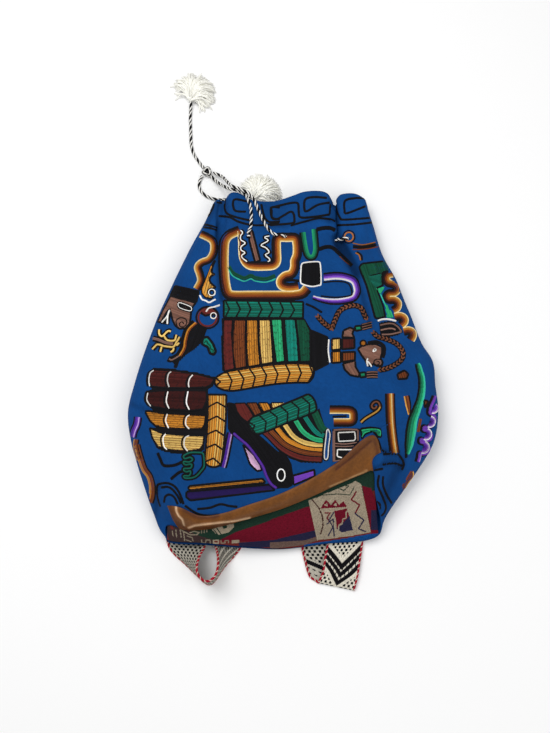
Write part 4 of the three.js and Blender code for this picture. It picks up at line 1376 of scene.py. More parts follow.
def band(window, palette, points, scale=1.0, layer=0, shape=None, pinch=0.0):
    """Parallel rows of stitches, from the left of the path to the right.

    The shape lists places along the path, in pixels, and the share of the width there.
    A pinch of -0.5 narrows the band toward its left edge.
    """
    path = dense(window, points)
    along = np.linspace(0, path_length(path), len(path))
    share = np.ones(len(path)) if shape is None else np.interp(along, *np.transpose(shape))
    total = sum(width for _, width in palette) * scale
    cover = BAND_COVER * max(1.0, share.max())
    at = -total / 2
    for colour, width in palette:
        wide = width * scale
        row = shifted(path, mix(pinch * total, at + wide / 2, share))
        row = row if at == -total / 2 else row[share > THIN_SHARE]
        lay_thread(row, wide * cover, colour, layer, LINE_STITCH_PX)
        at += wide


def fill(window, colour, angle, points, layer=0):
    corners = in_window(window, points)
    turn = math.radians(angle)
    along = np.array([math.cos(turn), math.sin(turn)])
    across = np.array([-along[1], along[0]])
    u, v = corners @ along, corners @ across
    rows = max(1, int(round((v.max() - v.min()) / THREAD_PX)))
    pitch = (v.max() - v.min()) / rows
    wide = pitch * (UNDER_COVER if layer == UNDER else COVER)
    ahead = np.roll(np.arange(len(u)), -1)
    for row in range(rows):
        at = v.min() + (row + 0.5) * pitch
        cut = (v > at) != (v[ahead] > at)
        hits = np.sort(u[cut] + (at - v[cut]) / (v[ahead][cut] - v[cut]) * (u[ahead][cut] - u[cut]))
        for start, stop in zip(hits[::2], hits[1::2]):
            ends = np.outer([start, stop], along) + across * at
            lay_thread(evenly(ends, CHART_STEP), wide, colour, layer, FILL_STITCH_PX)
            if row % 2 and colour in GROOVES:
                groove = evenly(ends + across * pitch / 2, CHART_STEP)
                lay_thread(groove, GROOVE_PX, GROOVES[colour], layer + 1, FILL_STITCH_PX)


def patch(window, colour, angle, points, layer=0, outline=OUTLINE_PX):
    fill(window, colour, angle, points, layer)
    line(window, "black", outline, points, layer + 1, True, True)


def ring(window, colour, width, centre, radii, layer=3):
    turn = np.linspace(0, 2 * math.pi, RING_STEPS, endpoint=False)
    points = np.column_stack([centre[0] + radii[0] * np.cos(turn), centre[1] + radii[1] * np.sin(turn)])
    line(window, colour, width, points, layer, False, True)


def feathered(window, colours, halves, step, points, caps=(0, 0), slope=0.5, reverse=False):
    """A band filled along its length, with black arrow lines across it.

    The halves are the half widths at its two ends, and the caps round the ends.
    """
    path = dense(window, points)
    along, share = rounding(path, caps)
    half = np.linspace(*halves, len(path))
    rows = int(round(2 * max(halves) / THREAD_PX))
    for row in range(rows):
        place = 2 * (row + 0.5) / rows - 1
        shades = colours[int(place > 0)]
        moved = shifted(path, place * half)[share >= abs(place)]
        lay_thread(moved, 2 * max(halves) / rows * COVER, shades[row % len(shades)], 0, FILL_STITCH_PX)
        if row % 2:
            edge = 2 * (row + 1) / rows - 1
            groove = shifted(path, edge * half)[share >= abs(edge)]
            lay_thread(groove, GROOVE_PX, colours[2], 1, FILL_STITCH_PX)
    run = unit(np.gradient(path, axis=0))
    out = np.column_stack([run[:, 1], -run[:, 0]])
    for at in np.arange(step / 2, along[-1], step):
        mid = np.searchsorted(along, at)
        swept = at + half[mid] * slope * (1 if reverse else -1)
        if 0 < swept < along[-1]:
            end = np.searchsorted(along, swept)
            arm = out[end] * half[end] * share[end]
            line(WHOLE, "black", ARROW_PX, [path[end] + arm, path[mid], path[end] - arm], 1, True)
    rim = np.vstack([shifted(path, half * share), shifted(path, -half * share)[::-1]])
    line(WHOLE, "black", OUTLINE_PX, rim, 1, True, True)


BRAID_STEP_PX = 3.9
BRAID_STITCH_PX = 1.9
BRAID_BACK_PX = 1.7
BRAID_AHEAD_PX = 1.2
BRAID_BLACK_PX = 2.4


def braid(window, width, points):
    """A plaited rope: pairs of slanting stitches on black."""
    path = dense(window, points)
    line(WHOLE, "black", width + BRAID_BLACK_PX, path, 0)
    marks = evenly(path, BRAID_STEP_PX)
    run = unit(np.gradient(marks, axis=0))
    out = np.column_stack([run[:, 1], -run[:, 0]])
    for at, along, aside in zip(marks, run, out):
        for side in (-1, 1):
            outer = at + aside * side * width / 2 - along * BRAID_BACK_PX
            slant = np.array([outer, at + along * BRAID_AHEAD_PX])
            lay_thread(evenly(slant, CHART_STEP), BRAID_STITCH_PX, "sienna", 2, FILL_STITCH_PX)


def half_ring(palette, centre, radius, angles, layer=0):
    """Rows of stitches round a point, from the middle out, between two angles."""
    turn = np.radians(np.linspace(*angles, HALF_RING_STEPS))
    spokes = np.column_stack([np.cos(turn), np.sin(turn)])
    scale = radius / sum(width for _, width in palette)
    out = 0
    for colour, width in palette:
        path = np.array(centre) + spokes * (out + width / 2) * scale
        lay_thread(evenly(path, CHART_STEP), width * scale * COVER, colour, layer, LINE_STITCH_PX)
        out += width


def key_lines(window, rows):
    for points in rows:
        line(window, "black", KEY_PX, points, 1)


def on_black(window, colour, width, points, black, sharp=False, closed=False):
    """A coloured line on a wider black one."""
    line(window, "black", black, points, 0, sharp, closed)
    line(window, colour, width, points, 3, sharp, closed)


# Border of frets under the mouth.
group("embroidery_border")
FRETS_LEFT = [
    [(1075, 50), (1058, 130), (1070, 205), (1130, 240), (1220, 265), (1290, 280)],
    [(1262, 105), (1160, 85), (1135, 112), (1140, 165), (1165, 195), (1255, 200)],
    [(1000, 240), (1100, 250), (1180, 290), (1290, 320), (1400, 325), (1560, 305)],
    [(1395, 130), (1410, 200), (1430, 262), (1475, 295), (1568, 290)],
    [(1568, 160), (1492, 160), (1485, 215), (1502, 260), (1568, 270)],
    [(960, 130), (945, 175), (905, 245)],
    [(985, 112), (1032, 122)],
    [(870, 318), (930, 330), (990, 350)],
    [(862, 345), (925, 352), (985, 372)],
]
FRETS_RIGHT = [
    [(0, 165), (100, 140), (200, 118), (258, 125), (265, 200), (285, 252), (420, 245), (550, 225)],
    [(550, 225), (556, 130)],
    [(15, 180), (18, 255), (60, 270), (130, 232), (190, 200), (218, 220), (225, 282), (200, 306), (0, 325)],
    [(525, 72), (400, 65), (325, 88), (318, 180), (342, 195), (440, 138), (550, 115)],
    [(190, 330), (330, 290), (450, 262), (560, 270), (600, 290)],
    [(865, 75), (780, 75), (692, 100), (688, 190), (708, 215), (880, 150)],
    [(602, 80), (618, 190), (648, 260), (680, 274), (920, 258)],
    [(620, 325), (780, 318), (940, 300)],
]
key_lines(TOP_LEFT, FRETS_LEFT)
key_lines(TOP_RIGHT, FRETS_RIGHT)

# The great head with its open jaws.
group("embroidery_head")
HEAD_OUTER = [
    (1195, 372), (1150, 388), (1090, 420), (1055, 480), (1048, 600), (1050, 720), (1060, 850), (1085, 950),
    (1140, 975), (1300, 975), (1568, 975), (1690, 972), (1775, 955), (1821, 905),
]
HEAD_INNER = [
    (-256, 372), (-247, 470), (-245, 560), (-238, 625), (-210, 675), (-156, 700), (-26, 700), (34, 690),
    (60, 650), (58, 560), (58, 470), (80, 437), (150, 437), (232, 440), (250, 490), (254, 560), (248, 610),
    (230, 655), (228, 715), (200, 775), (140, 795), (100, 838), (112, 882), (180, 900), (262, 890),
]
band(TOP_LEFT, FLAME, HEAD_OUTER)
band(TOP_RIGHT, FLAME_IN, HEAD_INNER, 0.93, 0, [(0, 0.12), (25, 0.14), (39, 1.0), (50, 1.0)], -0.5)
line(TOP_LEFT, "rust", 1.6, [(1200, 375), (1203, 430), (1204, 610), (1215, 650)], 1)
TEETH_LEFT = [
    (1205, 372), (1225, 395), (1205, 425), (1208, 462), (1248, 490), (1210, 522), (1210, 555), (1246, 580),
    (1214, 605), (1225, 632), (1265, 662),
]
TEETH_RIGHT = [
    (1470, 425), (1425, 438), (1460, 468), (1392, 510), (1440, 535), (1468, 575), (1432, 600), (1468, 632),
    (1475, 652), (1455, 662),
]
on_black(TOP_LEFT, "white", 1.6, TEETH_LEFT, 5.0)
on_black(TOP_LEFT, "white", 1.6, TEETH_RIGHT, 5.0)
patch(TOP_LEFT, "skin", 75, [(1288, 380), (1312, 372), (1330, 440), (1385, 650), (1340, 668), (1285, 470)])
JAW_LINE = [
    (1095, 735), (1130, 790), (1180, 820), (1240, 842), (1300, 820), (1340, 840), (1440, 850), (1525, 820),
]
line(TOP_LEFT, "pine", 4.2, [(x, y - 30) for x, y in JAW_LINE], 0)
line(TOP_LEFT, "aqua", 1.5, JAW_LINE)
line(TOP_RIGHT, "aqua", 1.5, [(0, 840), (25, 835), (52, 818)])
GREEN_LOOP = [(298, 390), (312, 490), (335, 590), (370, 625), (408, 610), (426, 540), (420, 440), (412, 360)]
band(TOP_RIGHT, LEAF, GREEN_LOOP)
line(TOP_RIGHT, "black", 4.4, [(430, 365), (500, 350), (560, 352), (600, 372)])
line(TOP_RIGHT, "black", 4.4, [(450, 548), (520, 525), (580, 535), (640, 590), (700, 645), (755, 700)])
line(TOP_RIGHT, "brown", 1.3, [(640, 612), (690, 660), (735, 695)], 3)
line(TOP_RIGHT, "black", 3.0, [(130, 838), (200, 832), (270, 838)])
EYE = [
    (288, 695), (312, 672), (438, 662), (464, 690), (470, 860), (448, 880), (380, 890), (300, 868),
    (282, 840),
]
fill(TOP_RIGHT, "black", 90, EYE)
line(TOP_RIGHT, "white", 1.7, EYE, 3, False, True)
PURPLE_LOOP = [
    (495, 800), (600, 790), (690, 798), (770, 830), (800, 890), (802, 950), (765, 1003), (660, 1028),
    (560, 1030), (470, 1014), (395, 990),
]
band(TOP_RIGHT, VIOLET, PURPLE_LOOP, 1.0, 0, [(0, 0.95), (30, 0.95), (45, 0.8), (75, 0.72), (92, 0.35)])
line(TOP_RIGHT, "black", 1.8, [
    (490, 852), (600, 843), (690, 850), (736, 880), (756, 955), (728, 978), (600, 990), (470, 978),
])
line(TOP_RIGHT, "black", 2.6, [(330, 1050), (400, 1080), (480, 1130)])

# Folded upper right: ring, bars, dark green panel and scallops.
group("embroidery_right")
ring(TOP_RIGHT, "black", 1.6, (728, 432), (56, 58), 1)
ring(TOP_RIGHT, "orange", 1.6, (728, 432), (40, 42))
line(TOP_RIGHT, "black", 4.0, [(765, 522), (870, 526), (1005, 498)], 1)
line(TOP_RIGHT, "orange", 1.4, [(762, 490), (860, 505), (1000, 475)])
line(TOP_RIGHT, "rust", 1.4, [(762, 550), (880, 545), (1018, 520)])
line(TOP_RIGHT, "orange", 1.6, [(788, 580), (822, 600), (836, 650)])
line(TOP_RIGHT, "black", 2.2, [(800, 570), (842, 600), (850, 650)])
DARK_PANEL = [
    (850, 680), (1070, 655), (1118, 738), (1040, 760), (1035, 800), (1040, 880), (985, 905), (1000, 960),
    (1040, 1060), (1062, 1170), (1000, 1185), (970, 1180), (930, 1030), (890, 880), (842, 760), (826, 710),
]
patch(TOP_RIGHT, "pine", 72, DARK_PANEL)
fill(TOP_RIGHT, "leaf", 20, [(905, 795), (1022, 772), (1020, 830), (1036, 876), (978, 902), (940, 868)], 1)
line(TOP_RIGHT, "black", 1.6, [(925, 790), (965, 782), (1022, 768)], 3)
fill(WHOLE, "mint", 68, [(375.9, 288.7), (385.1, 286.4), (382.8, 290.4), (380.5, 294.4)], 1)
fill(WHOLE, "mint", 68, [
    (384, 302.5), (387.5, 305.5), (392.5, 314.5), (393.1, 317.4), (387.4, 318), (385.5, 308),
], 1)
line(WHOLE, "aqua", 1.4, [(380.5, 294), (384.5, 303.5)], 2)
# A wavy band down the side and two arcs below it.
SIDE_WAVE = [
    (392.5, 273.5), (387.9, 274.6), (385.9, 278.6), (387.9, 282.7), (392.5, 284.1), (396.3, 286.1),
    (397.1, 289.8), (394.3, 292.7), (389.1, 293.3), (386.5, 296.1), (388.5, 299.6), (393.7, 299.9),
    (397.7, 302.7), (397.1, 307.6), (393.1, 310.5),
]
SIDE_ARCS = [
    [(394.5, 317), (400, 316.2), (404, 318.4), (404.2, 321.8), (401, 325.2)],
    [(403.5, 331.5), (408.5, 330.6), (412.2, 332.4), (412.6, 336), (410.5, 340)],
]
band(WHOLE, FLAME, SIDE_WAVE, 0.8, 1)
for arc in SIDE_ARCS:
    band(WHOLE, FLAME, arc, 0.84, 1)
CLAW = [
    (379, 323), (388, 321.2), (395, 322.2), (400, 326.5), (403, 332), (398, 335), (390, 337), (380.5, 337),
]
fill(WHOLE, "black", 10, CLAW, 1)
CLAW_LINES = [
    [(379.9, 325.4), (388, 323.7), (393.7, 324.3), (398.3, 327.7), (401.2, 331.8)],
    [(380.5, 330.3), (386.8, 328.9), (392, 328.6), (395.4, 329.9)],
    [(381.6, 334.6), (390.3, 334.3), (397.1, 332.9), (401.2, 331.8)],
]
for claw_line in CLAW_LINES:
    line(WHOLE, "taupe", 2.0, claw_line, 3)
line(WHOLE, "white", 2.0, [(377.6, 321.1), (382.2, 319.4), (389.1, 319.4), (396, 321.1)], 4)

# Vertical stripes between two feathered bands.
group("embroidery_stripes")
STRIPES_UNDER = [
    (222.2, 318), (304, 318), (311.5, 330), (311.5, 364), (262, 368), (228, 374), (222.4, 371), (221.6, 340),
]
fill(WHOLE, "black", 88, STRIPES_UNDER, UNDER)
feathered(
    TOP_LEFT, GREENS, (8.6, 8.2), 10.8, [(1050, 1098), (1300, 1100), (1560, 1104), (1780, 1108)], slope=0.5,
)
STRIPES = [
    (MID_LEFT, "maroon", [
        (1050, 0), (1130, 0), (1120, 130), (1135, 330), (1145, 450), (1055, 472), (1045, 300), (1045, 100),
    ]),
    (MID_LEFT, "brown", [
        (1152, 0), (1250, 0), (1245, 150), (1255, 432), (1157, 450), (1137, 300), (1137, 120),
    ]),
    (MID_LEFT, "amber", [(1264, 0), (1360, 0), (1365, 200), (1380, 412), (1277, 430), (1264, 250)]),
    (MID_LEFT, "sand", [(1376, 0), (1475, 0), (1490, 200), (1500, 390), (1402, 407), (1378, 200)]),
    (MID_RIGHT, "mint", [(12, -5), (100, -5), (110, 150), (125, 360), (57, 370), (32, 180)]),
    (MID_RIGHT, "teal", [(127, -5), (215, -5), (235, 150), (247, 360), (157, 365), (137, 150)]),
    (MID_RIGHT, "pine", [(227, -5), (300, -5), (345, 90), (350, 360), (265, 364), (247, 150)]),
]
for window, colour, points in STRIPES:
    patch(window, colour, 88, points, 0, 1.7)
patch(MID_RIGHT, "black", 88, [(358, 92), (500, 150), (505, 380), (392, 438), (352, 360)])
line(MID_RIGHT, "white", 1.8, [(513, 170), (508, 270), (522, 370)], 3)
GOLD_AXIS = [
    (965, 572), (1080, 566), (1215, 548), (1320, 530), (1420, 514), (1530, 500), (1690, 490), (1830, 492),
    (1880, 498),
]
feathered(MID_LEFT, GOLDS, (10.4, 9.2), 11.6, GOLD_AXIS, (22, 7), 0.42)

# Figure with plaited ropes.
group("embroidery_figure")
braid(TOP_RIGHT, 3.8, [(440, 1165), (500, 1230), (570, 1280)])
ROPE_UPPER = [
    (570, 1280), (600, 1200), (640, 1120), (700, 1080), (780, 1065), (840, 1090), (870, 1150), (890, 1190),
]
braid(TOP_RIGHT, 3.8, ROPE_UPPER)
ROPE_LOWER = [
    (900, 110), (940, 145), (1010, 165), (1090, 200), (1140, 245), (1160, 300), (1140, 350), (1080, 395),
    (1010, 425), (950, 435),
]
braid(MID_RIGHT, 3.8, ROPE_LOWER)
patch(MID_RIGHT, "skin", 30, [(640, 92), (700, 66), (730, 82), (716, 120), (735, 155), (630, 150)])
patch(MID_RIGHT, "skin", 60, [
    (636, 380), (740, 355), (745, 410), (780, 470), (770, 495), (700, 480), (650, 430),
])
patch(MID_RIGHT, "green", 0, [(738, 56), (790, 50), (800, 85), (746, 95)])
patch(MID_RIGHT, "green", 0, [(782, 462), (830, 455), (835, 495), (786, 500)])
line(MID_RIGHT, "black", 7.5, [(800, 64), (885, 42)], 0)
line(MID_RIGHT, "black", 8.0, [(842, 478), (938, 476)], 0)
for shift in (0, 22, 44):
    line(MID_RIGHT, "skin", 1.4, [(800, 40 + shift), (850, 28 + shift), (888, 18 + shift)])
    line(MID_RIGHT, "skin", 1.4, [(842, 456 + shift), (890, 452 + shift), (938, 454 + shift)])
patch(MID_RIGHT, "sand", 90, [(540, 165), (612, 160), (616, 255), (540, 262)])
patch(MID_RIGHT, "garnet", 90, [(626, 162), (735, 160), (735, 245), (628, 255)])
patch(MID_RIGHT, "amber", 90, [(540, 275), (614, 272), (616, 368), (540, 374)])
patch(MID_RIGHT, "brown", 90, [(628, 282), (740, 278), (738, 350), (630, 366)])
HEAD = [
    (765, 252), (800, 226), (860, 212), (930, 212), (975, 240), (975, 290), (962, 330), (982, 370),
    (970, 400), (930, 400), (900, 380), (880, 402), (852, 395), (830, 350), (800, 310),
]
line(MID_RIGHT, "black", 3.8, [(850, 200), (930, 190), (990, 225), (995, 285), (980, 330)], 0)
patch(MID_RIGHT, "skin", 20, HEAD)
ring(MID_RIGHT, "black", 1.8, (812, 203), (26, 26), 2)
ring(MID_RIGHT, "orange", 2.4, (812, 203), (11, 11))
fill(MID_RIGHT, "white", 30, [(890, 262), (908, 248), (930, 255), (922, 276), (900, 278)], 3)
ring(MID_RIGHT, "black", 1.2, (909, 263), (6, 6), 4)
line(MID_RIGHT, "white", 1.8, [(852, 335), (842, 362), (852, 404)], 4)
line(MID_RIGHT, "white", 1.8, [(846, 360), (866, 378), (884, 408)], 4)
line(MID_RIGHT, "black", 1.4, [
    (966, 345), (925, 342), (903, 366), (920, 392), (950, 384), (948, 362), (930, 362),
], 3)

# Left side: flame band, snake, masked face and the diving creature.
group("embroidery_left")
FLAME_LEFT = [
    (835, 405), (920, 445), (955, 490), (955, 570), (915, 640), (845, 670), (810, 712), (830, 780),
    (838, 840), (800, 915),
]
band(TOP_LEFT, SMALL_FLAME, FLAME_LEFT, 1.02)
SNAKE = [
    (968, 648), (940, 690), (915, 760), (880, 830), (850, 900), (850, 950), (880, 990), (930, 1005),
    (950, 985), (905, 955), (905, 920), (975, 900), (930, 860), (915, 830), (930, 795), (965, 780),
    (935, 760), (948, 700),
]
patch(TOP_LEFT, "gold", 105, SNAKE)
line(TOP_LEFT, "amber", 1.6, [(938, 700), (890, 830), (858, 910), (862, 955), (895, 990)], 2)
ring(TOP_LEFT, "black", 2.6, (940, 946), (24, 24), 2)
ring(TOP_LEFT, "white", 1.4, (940, 946), (30, 30), 4)
line(TOP_LEFT, "white", 1.8, [(828, 972), (850, 1010), (882, 1020), (915, 1038), (950, 1020), (975, 1008)], 3)
patch(TOP_LEFT, "black", 14, [(598, 885), (820, 935), (796, 1035), (556, 970)])
FACE = [
    (560, 978), (790, 1042), (750, 1092), (745, 1160), (738, 1230), (700, 1275), (640, 1280), (602, 1250),
    (578, 1200), (562, 1130), (548, 1100), (520, 1130), (470, 1220), (440, 1215), (500, 1090),
]
patch(TOP_LEFT, "skin", 20, FACE)
SLOT = [(628, 1050), (650, 1042), (740, 1076), (755, 1098), (738, 1118), (645, 1088)]
fill(TOP_LEFT, "black", 18, SLOT, 2)
line(TOP_LEFT, "black", 3.4, SLOT, 3, False, True)
line(TOP_LEFT, "white", 1.3, SLOT, 4, False, True)
fill(TOP_LEFT, "black", 100, [(556, 1092), (562, 1150), (545, 1245), (470, 1235), (520, 1150)], 2)
line(TOP_LEFT, "white", 2.0, [(553, 1108), (530, 1165), (480, 1225)], 4)
line(TOP_LEFT, "white", 2.0, [(545, 1120), (535, 1170), (530, 1238)], 4)
NOSE = [
    (622, 1262), (610, 1212), (640, 1182), (690, 1186), (710, 1220), (690, 1258), (652, 1262), (640, 1236),
    (664, 1216), (682, 1236),
]
line(TOP_LEFT, "black", 1.5, NOSE, 3)
ring(TOP_LEFT, "black", 2.2, (900, 1176), (104, 100), 1)
ring(TOP_LEFT, "maroon", 2.2, (900, 1176), (84, 80), 2)
MAROON_EYE = [(850, 1088), (930, 1082), (985, 1122), (962, 1150), (920, 1150), (880, 1160), (838, 1132)]
patch(TOP_LEFT, "maroon", 20, MAROON_EYE)
ring(TOP_LEFT, "black", 2.4, (955, 1160), (20, 20), 2)
ring(TOP_LEFT, "white", 1.4, (955, 1160), (27, 27), 4)
line(TOP_LEFT, "white", 1.9, [(886, 1125), (912, 1092), (960, 1080), (1014, 1062)], 4)
ANTLER = [
    [
        (159.2, 329.6), (159.4, 334.2), (161.8, 336.5), (164.1, 335.1), (166.4, 332.6), (168.7, 331),
        (171, 331.7),
    ],
    [(164.2, 336), (166.4, 339.5), (169.8, 340.8), (174.4, 340.6), (175.6, 338.8), (176.5, 334.9)],
    [
        (179.5, 336.9), (178.3, 339.7), (176.5, 342.2), (175.1, 345.2), (173.3, 347), (168.7, 346.8),
        (163.6, 346.1),
    ],
    [(163.6, 346.1), (160.9, 345), (157.2, 344.5), (154.9, 346.8), (152.4, 349.3)],
    [(161.8, 346.8), (160.4, 352.1)],
    [(173.7, 348), (173.5, 350.3), (170.7, 352.3)],
    [(176.4, 345.7), (179.2, 342.9)],
]
for branch in ANTLER:
    on_black(WHOLE, "sand", 2.3, branch, 6.0)
on_black(WHOLE, "taupe", 3.0, [
    (153, 338.5), (158.3, 339.7), (164.1, 342.2), (168.7, 343.4), (173.3, 343.8),
], 6.4)
DIVER = [
    (800, 30), (900, 70), (872, 140), (840, 210), (780, 270), (700, 322), (640, 382), (620, 440), (590, 450),
    (590, 402), (560, 380), (640, 342), (690, 260), (702, 180), (732, 90),
]
fill(MID_LEFT, "black", 110, DIVER)
DIVER_EDGE = [(790, 22), (722, 90), (692, 180), (680, 258), (640, 330), (572, 368), (546, 358)]
line(MID_LEFT, "black", 6.4, [(x - 10, y - 4) for x, y in DIVER_EDGE], 0)
line(MID_LEFT, "amber", 2.0, DIVER_EDGE[:5], 2)
line(MID_LEFT, "taupe", 2.0, DIVER_EDGE[4:], 2)
line(MID_LEFT, "rust", 1.6, [(x + 14, y + 5) for x, y in DIVER_EDGE[:5]], 1)
FIN = [(858, 165), (900, 156), (950, 220), (976, 290), (958, 320), (922, 308), (902, 250), (850, 222)]
patch(MID_LEFT, "teal", 60, FIN, 0, 3.0)
line(MID_LEFT, "pine", 1.6, [
    (870, 215), (888, 190), (905, 222), (922, 232), (930, 268), (952, 276), (950, 302),
], 3)
PURPLE_EDGE = [
    ("black", 1.4), ("purple", 1.8), ("violet", 1.6), ("lilac", 1.2), ("purple", 1.0), ("black", 1.4),
]
band(MID_LEFT, PURPLE_EDGE, [(258, 895), (248, 960), (222, 1020), (206, 1080)])
BROWN_EDGE = [("gold", 1.0), ("rust", 1.6), ("brown", 1.8), ("black", 1.4)]
band(MID_LEFT, BROWN_EDGE, [(246, 1100), (238, 1160), (250, 1230), (272, 1290)])
GOLD_EDGE = [("gold", 1.1), ("amber", 1.3), ("rust", 1.6), ("brown", 1.4), ("black", 1.4)]
band(LOW_LEFT, GOLD_EDGE, [(236, 40), (262, 140), (300, 250), (345, 315), (368, 400), (366, 490), (350, 545)])

# Wing feathers, the upright feathered band and the hand.
group("embroidery_wing")
WING_UNDER = [
    (340, 490), (400, 442), (560, 450), (800, 486), (985, 532), (950, 612), (905, 640), (905, 1010),
    (880, 1070), (870, 1195), (830, 1218), (700, 1236), (520, 1220), (430, 1180), (385, 1090), (360, 1000),
    (430, 1000), (380, 950), (330, 870), (320, 838), (400, 830), (340, 780), (325, 665), (390, 635),
    (345, 600),
]
fill(MID_LEFT, "black", 3, WING_UNDER, UNDER)
WING_ROWS = [
    ("garnet", [
        (358, 490), (400, 457), (560, 463), (800, 498), (965, 540), (935, 600), (880, 622), (700, 628),
        (500, 626), (385, 615), (350, 560),
    ]),
    ("wine", [
        (332, 662), (500, 650), (700, 648), (890, 650), (895, 740), (860, 820), (760, 835), (560, 825),
        (400, 800), (342, 760),
    ]),
    ("amber", [
        (326, 850), (350, 840), (500, 864), (700, 872), (885, 878), (875, 960), (850, 1004), (700, 1006),
        (500, 996), (420, 976), (370, 930),
    ]),
    ("sand", [
        (366, 996), (480, 1044), (680, 1062), (870, 1068), (860, 1150), (830, 1194), (700, 1212), (540, 1196),
        (440, 1166), (392, 1090),
    ]),
]
for colour, points in WING_ROWS:
    patch(MID_LEFT, colour, 3, points)
WING_MARKS = [
    [(405, 464), (372, 492), (360, 560), (368, 612)],
    [(565, 476), (540, 500), (530, 560), (546, 620)],
    [(765, 506), (736, 540), (724, 590), (730, 622)],
    [(350, 672), (342, 740), (378, 796)],
    [(535, 660), (520, 750), (546, 818)],
    [(720, 658), (705, 760), (732, 828)],
    [(530, 866), (515, 930), (542, 998)],
    [(735, 876), (706, 900), (700, 965), (732, 1006)],
    [(515, 1050), (490, 1090), (500, 1165), (528, 1196)],
    [(730, 1066), (692, 1090), (685, 1160), (716, 1210)],
]
for points in WING_MARKS:
    line(MID_LEFT, "black", 2.2, [(x - 20, y) for x, y in points], 2)
    line(MID_LEFT, "white", 1.7, points, 3)
UPRIGHT_AXIS = [(988, 690), (985, 900), (972, 1100), (958, 1240), (942, 1356)]
feathered(MID_LEFT, GOLDS, (9.2, 8.6), 14.0, UPRIGHT_AXIS, (0, 7), 0.6, True)
PURPLE_LEG = [("black", 1.4), ("purple", 1.8), ("lilac", 1.0), ("black", 1.2)]
band(MID_LEFT, PURPLE_LEG, [(1112, 1040), (1092, 1140), (1066, 1270), (1042, 1360)], 1.3)
HAND = [
    (800, 110), (700, 110), (642, 140), (655, 162), (700, 150), (720, 172), (690, 192), (642, 188),
    (655, 215), (710, 210), (702, 245), (642, 250), (660, 276), (702, 270), (692, 310), (642, 312),
    (662, 332), (740, 320), (800, 260), (820, 220), (815, 130),
]
on_black(LOW_LEFT, "leaf", 2.0, HAND, 5.2, False, True)
line(LOW_LEFT, "black", 3.2, [(415, 112), (440, 170), (470, 222), (560, 220), (630, 190)])
line(LOW_LEFT, "black", 3.2, [(530, 342), (600, 284), (650, 270)])

# Bird with its purple edge, bars and blocks.
group("embroidery_bird")
BIRD = [
    (228.2, 402.9), (234.7, 404.3), (237.1, 412.2), (241.7, 418.1), (248.2, 423.5), (255.3, 432.8),
    (261.8, 438.2), (276.5, 451.5), (287.2, 457.6), (290.7, 464.4), (292.4, 475.9), (291.8, 485.1),
    (287.2, 487.4), (280.3, 487.4), (276.5, 488.2), (270.7, 483.6), (266.1, 475.6), (262.7, 466.4),
    (255.8, 456.1), (247.8, 445.7), (239.7, 440), (231.4, 433.3), (228.7, 428.4),
]
patch(WHOLE, "black", 55, BIRD, 0, 2.0)
ring(LOW_LEFT, "white", 1.6, (1490, 305), (34, 52))
PINK = [(1160, 40), (1250, 125), (1310, 218), (1322, 262), (1282, 270), (1220, 210), (1192, 130)]
patch(LOW_LEFT, "pink", 55, PINK)
BIRD_EDGE = [
    (1075, -58), (1135, -5), (1200, 50), (1270, 140), (1330, 230), (1360, 310), (1400, 380), (1450, 420),
]
line(LOW_LEFT, "purple", 3.2, BIRD_EDGE, 2)
line(LOW_LEFT, "violet", 1.4, BIRD_EDGE, 3)
patch(LOW_LEFT, "amber", -5, [(690, 402), (1330, 338), (1352, 370), (700, 436), (682, 424)])
patch(LOW_LEFT, "indigo", -5, [(668, 450), (1390, 388), (1435, 436), (700, 526), (664, 495)])
patch(LOW_RIGHT, "violet", -15, [(200, 398), (385, 347), (390, 400), (206, 478)])
LOW_LOOPS = [
    [
        (640, 560), (628, 520), (598, 450), (558, 400), (500, 376), (432, 382), (408, 410), (415, 500),
        (438, 580),
    ],
    [(620, 552), (590, 490), (545, 432), (500, 408), (445, 415)],
    [(470, 545), (482, 492), (520, 476), (560, 500), (590, 560)],
    [(760, 602), (870, 590), (960, 560), (1040, 575), (1110, 582)],
    [(652, 572), (760, 640), (880, 660), (960, 650)],
]
key_lines(LOW_LEFT, LOW_LOOPS)

# Fan of curved stripes under the slanting feathered band.
group("embroidery_fan")
FAN_UNDER = [
    (-70, 975), (60, 925), (210, 850), (300, 815), (430, 775), (490, 960), (478, 1100), (458, 1246),
    (270, 1240), (100, 1170),
]
fill(MID_RIGHT, "black", 20, FAN_UNDER, UNDER)
fill(MID_LEFT, "black", 65, [
    (1140, 770), (1630, 768), (1590, 800), (1330, 895), (1270, 952), (1200, 905),
], UNDER)
FAN_TOPS = [
    ("maroon", [(1152, 770), (1245, 766), (1290, 830), (1322, 888), (1268, 940), (1212, 900), (1170, 840)]),
    ("brown", [(1262, 766), (1350, 764), (1396, 856), (1336, 884)]),
    ("amber", [(1370, 764), (1455, 764), (1486, 826), (1414, 848)]),
    ("sand", [(1486, 764), (1600, 764), (1585, 788), (1506, 824)]),
]
for colour, points in FAN_TOPS:
    patch(MID_LEFT, colour, 65, points, 0, 1.7)
FAN = [
    ("maroon", [(-55, 968), (0, 1018), (60, 1080), (120, 1130), (200, 1175), (300, 1205), (450, 1215)]),
    ("brown", [(0, 962), (60, 1022), (130, 1085), (220, 1130), (330, 1160), (455, 1170)]),
    ("amber", [(50, 930), (140, 1035), (230, 1085), (330, 1115), (455, 1128)]),
    ("sand", [(122, 905), (200, 1010), (290, 1065), (380, 1085), (460, 1088)]),
    ("mint", [(215, 865), (280, 965), (350, 1020), (410, 1045), (462, 1048)]),
    ("teal", [(298, 835), (360, 930), (410, 985), (472, 1010)]),
    ("pine", [(385, 800), (430, 900), (455, 945), (478, 965)]),
]
FAN_PX = 5.2
PINE_SHARE = 1.5
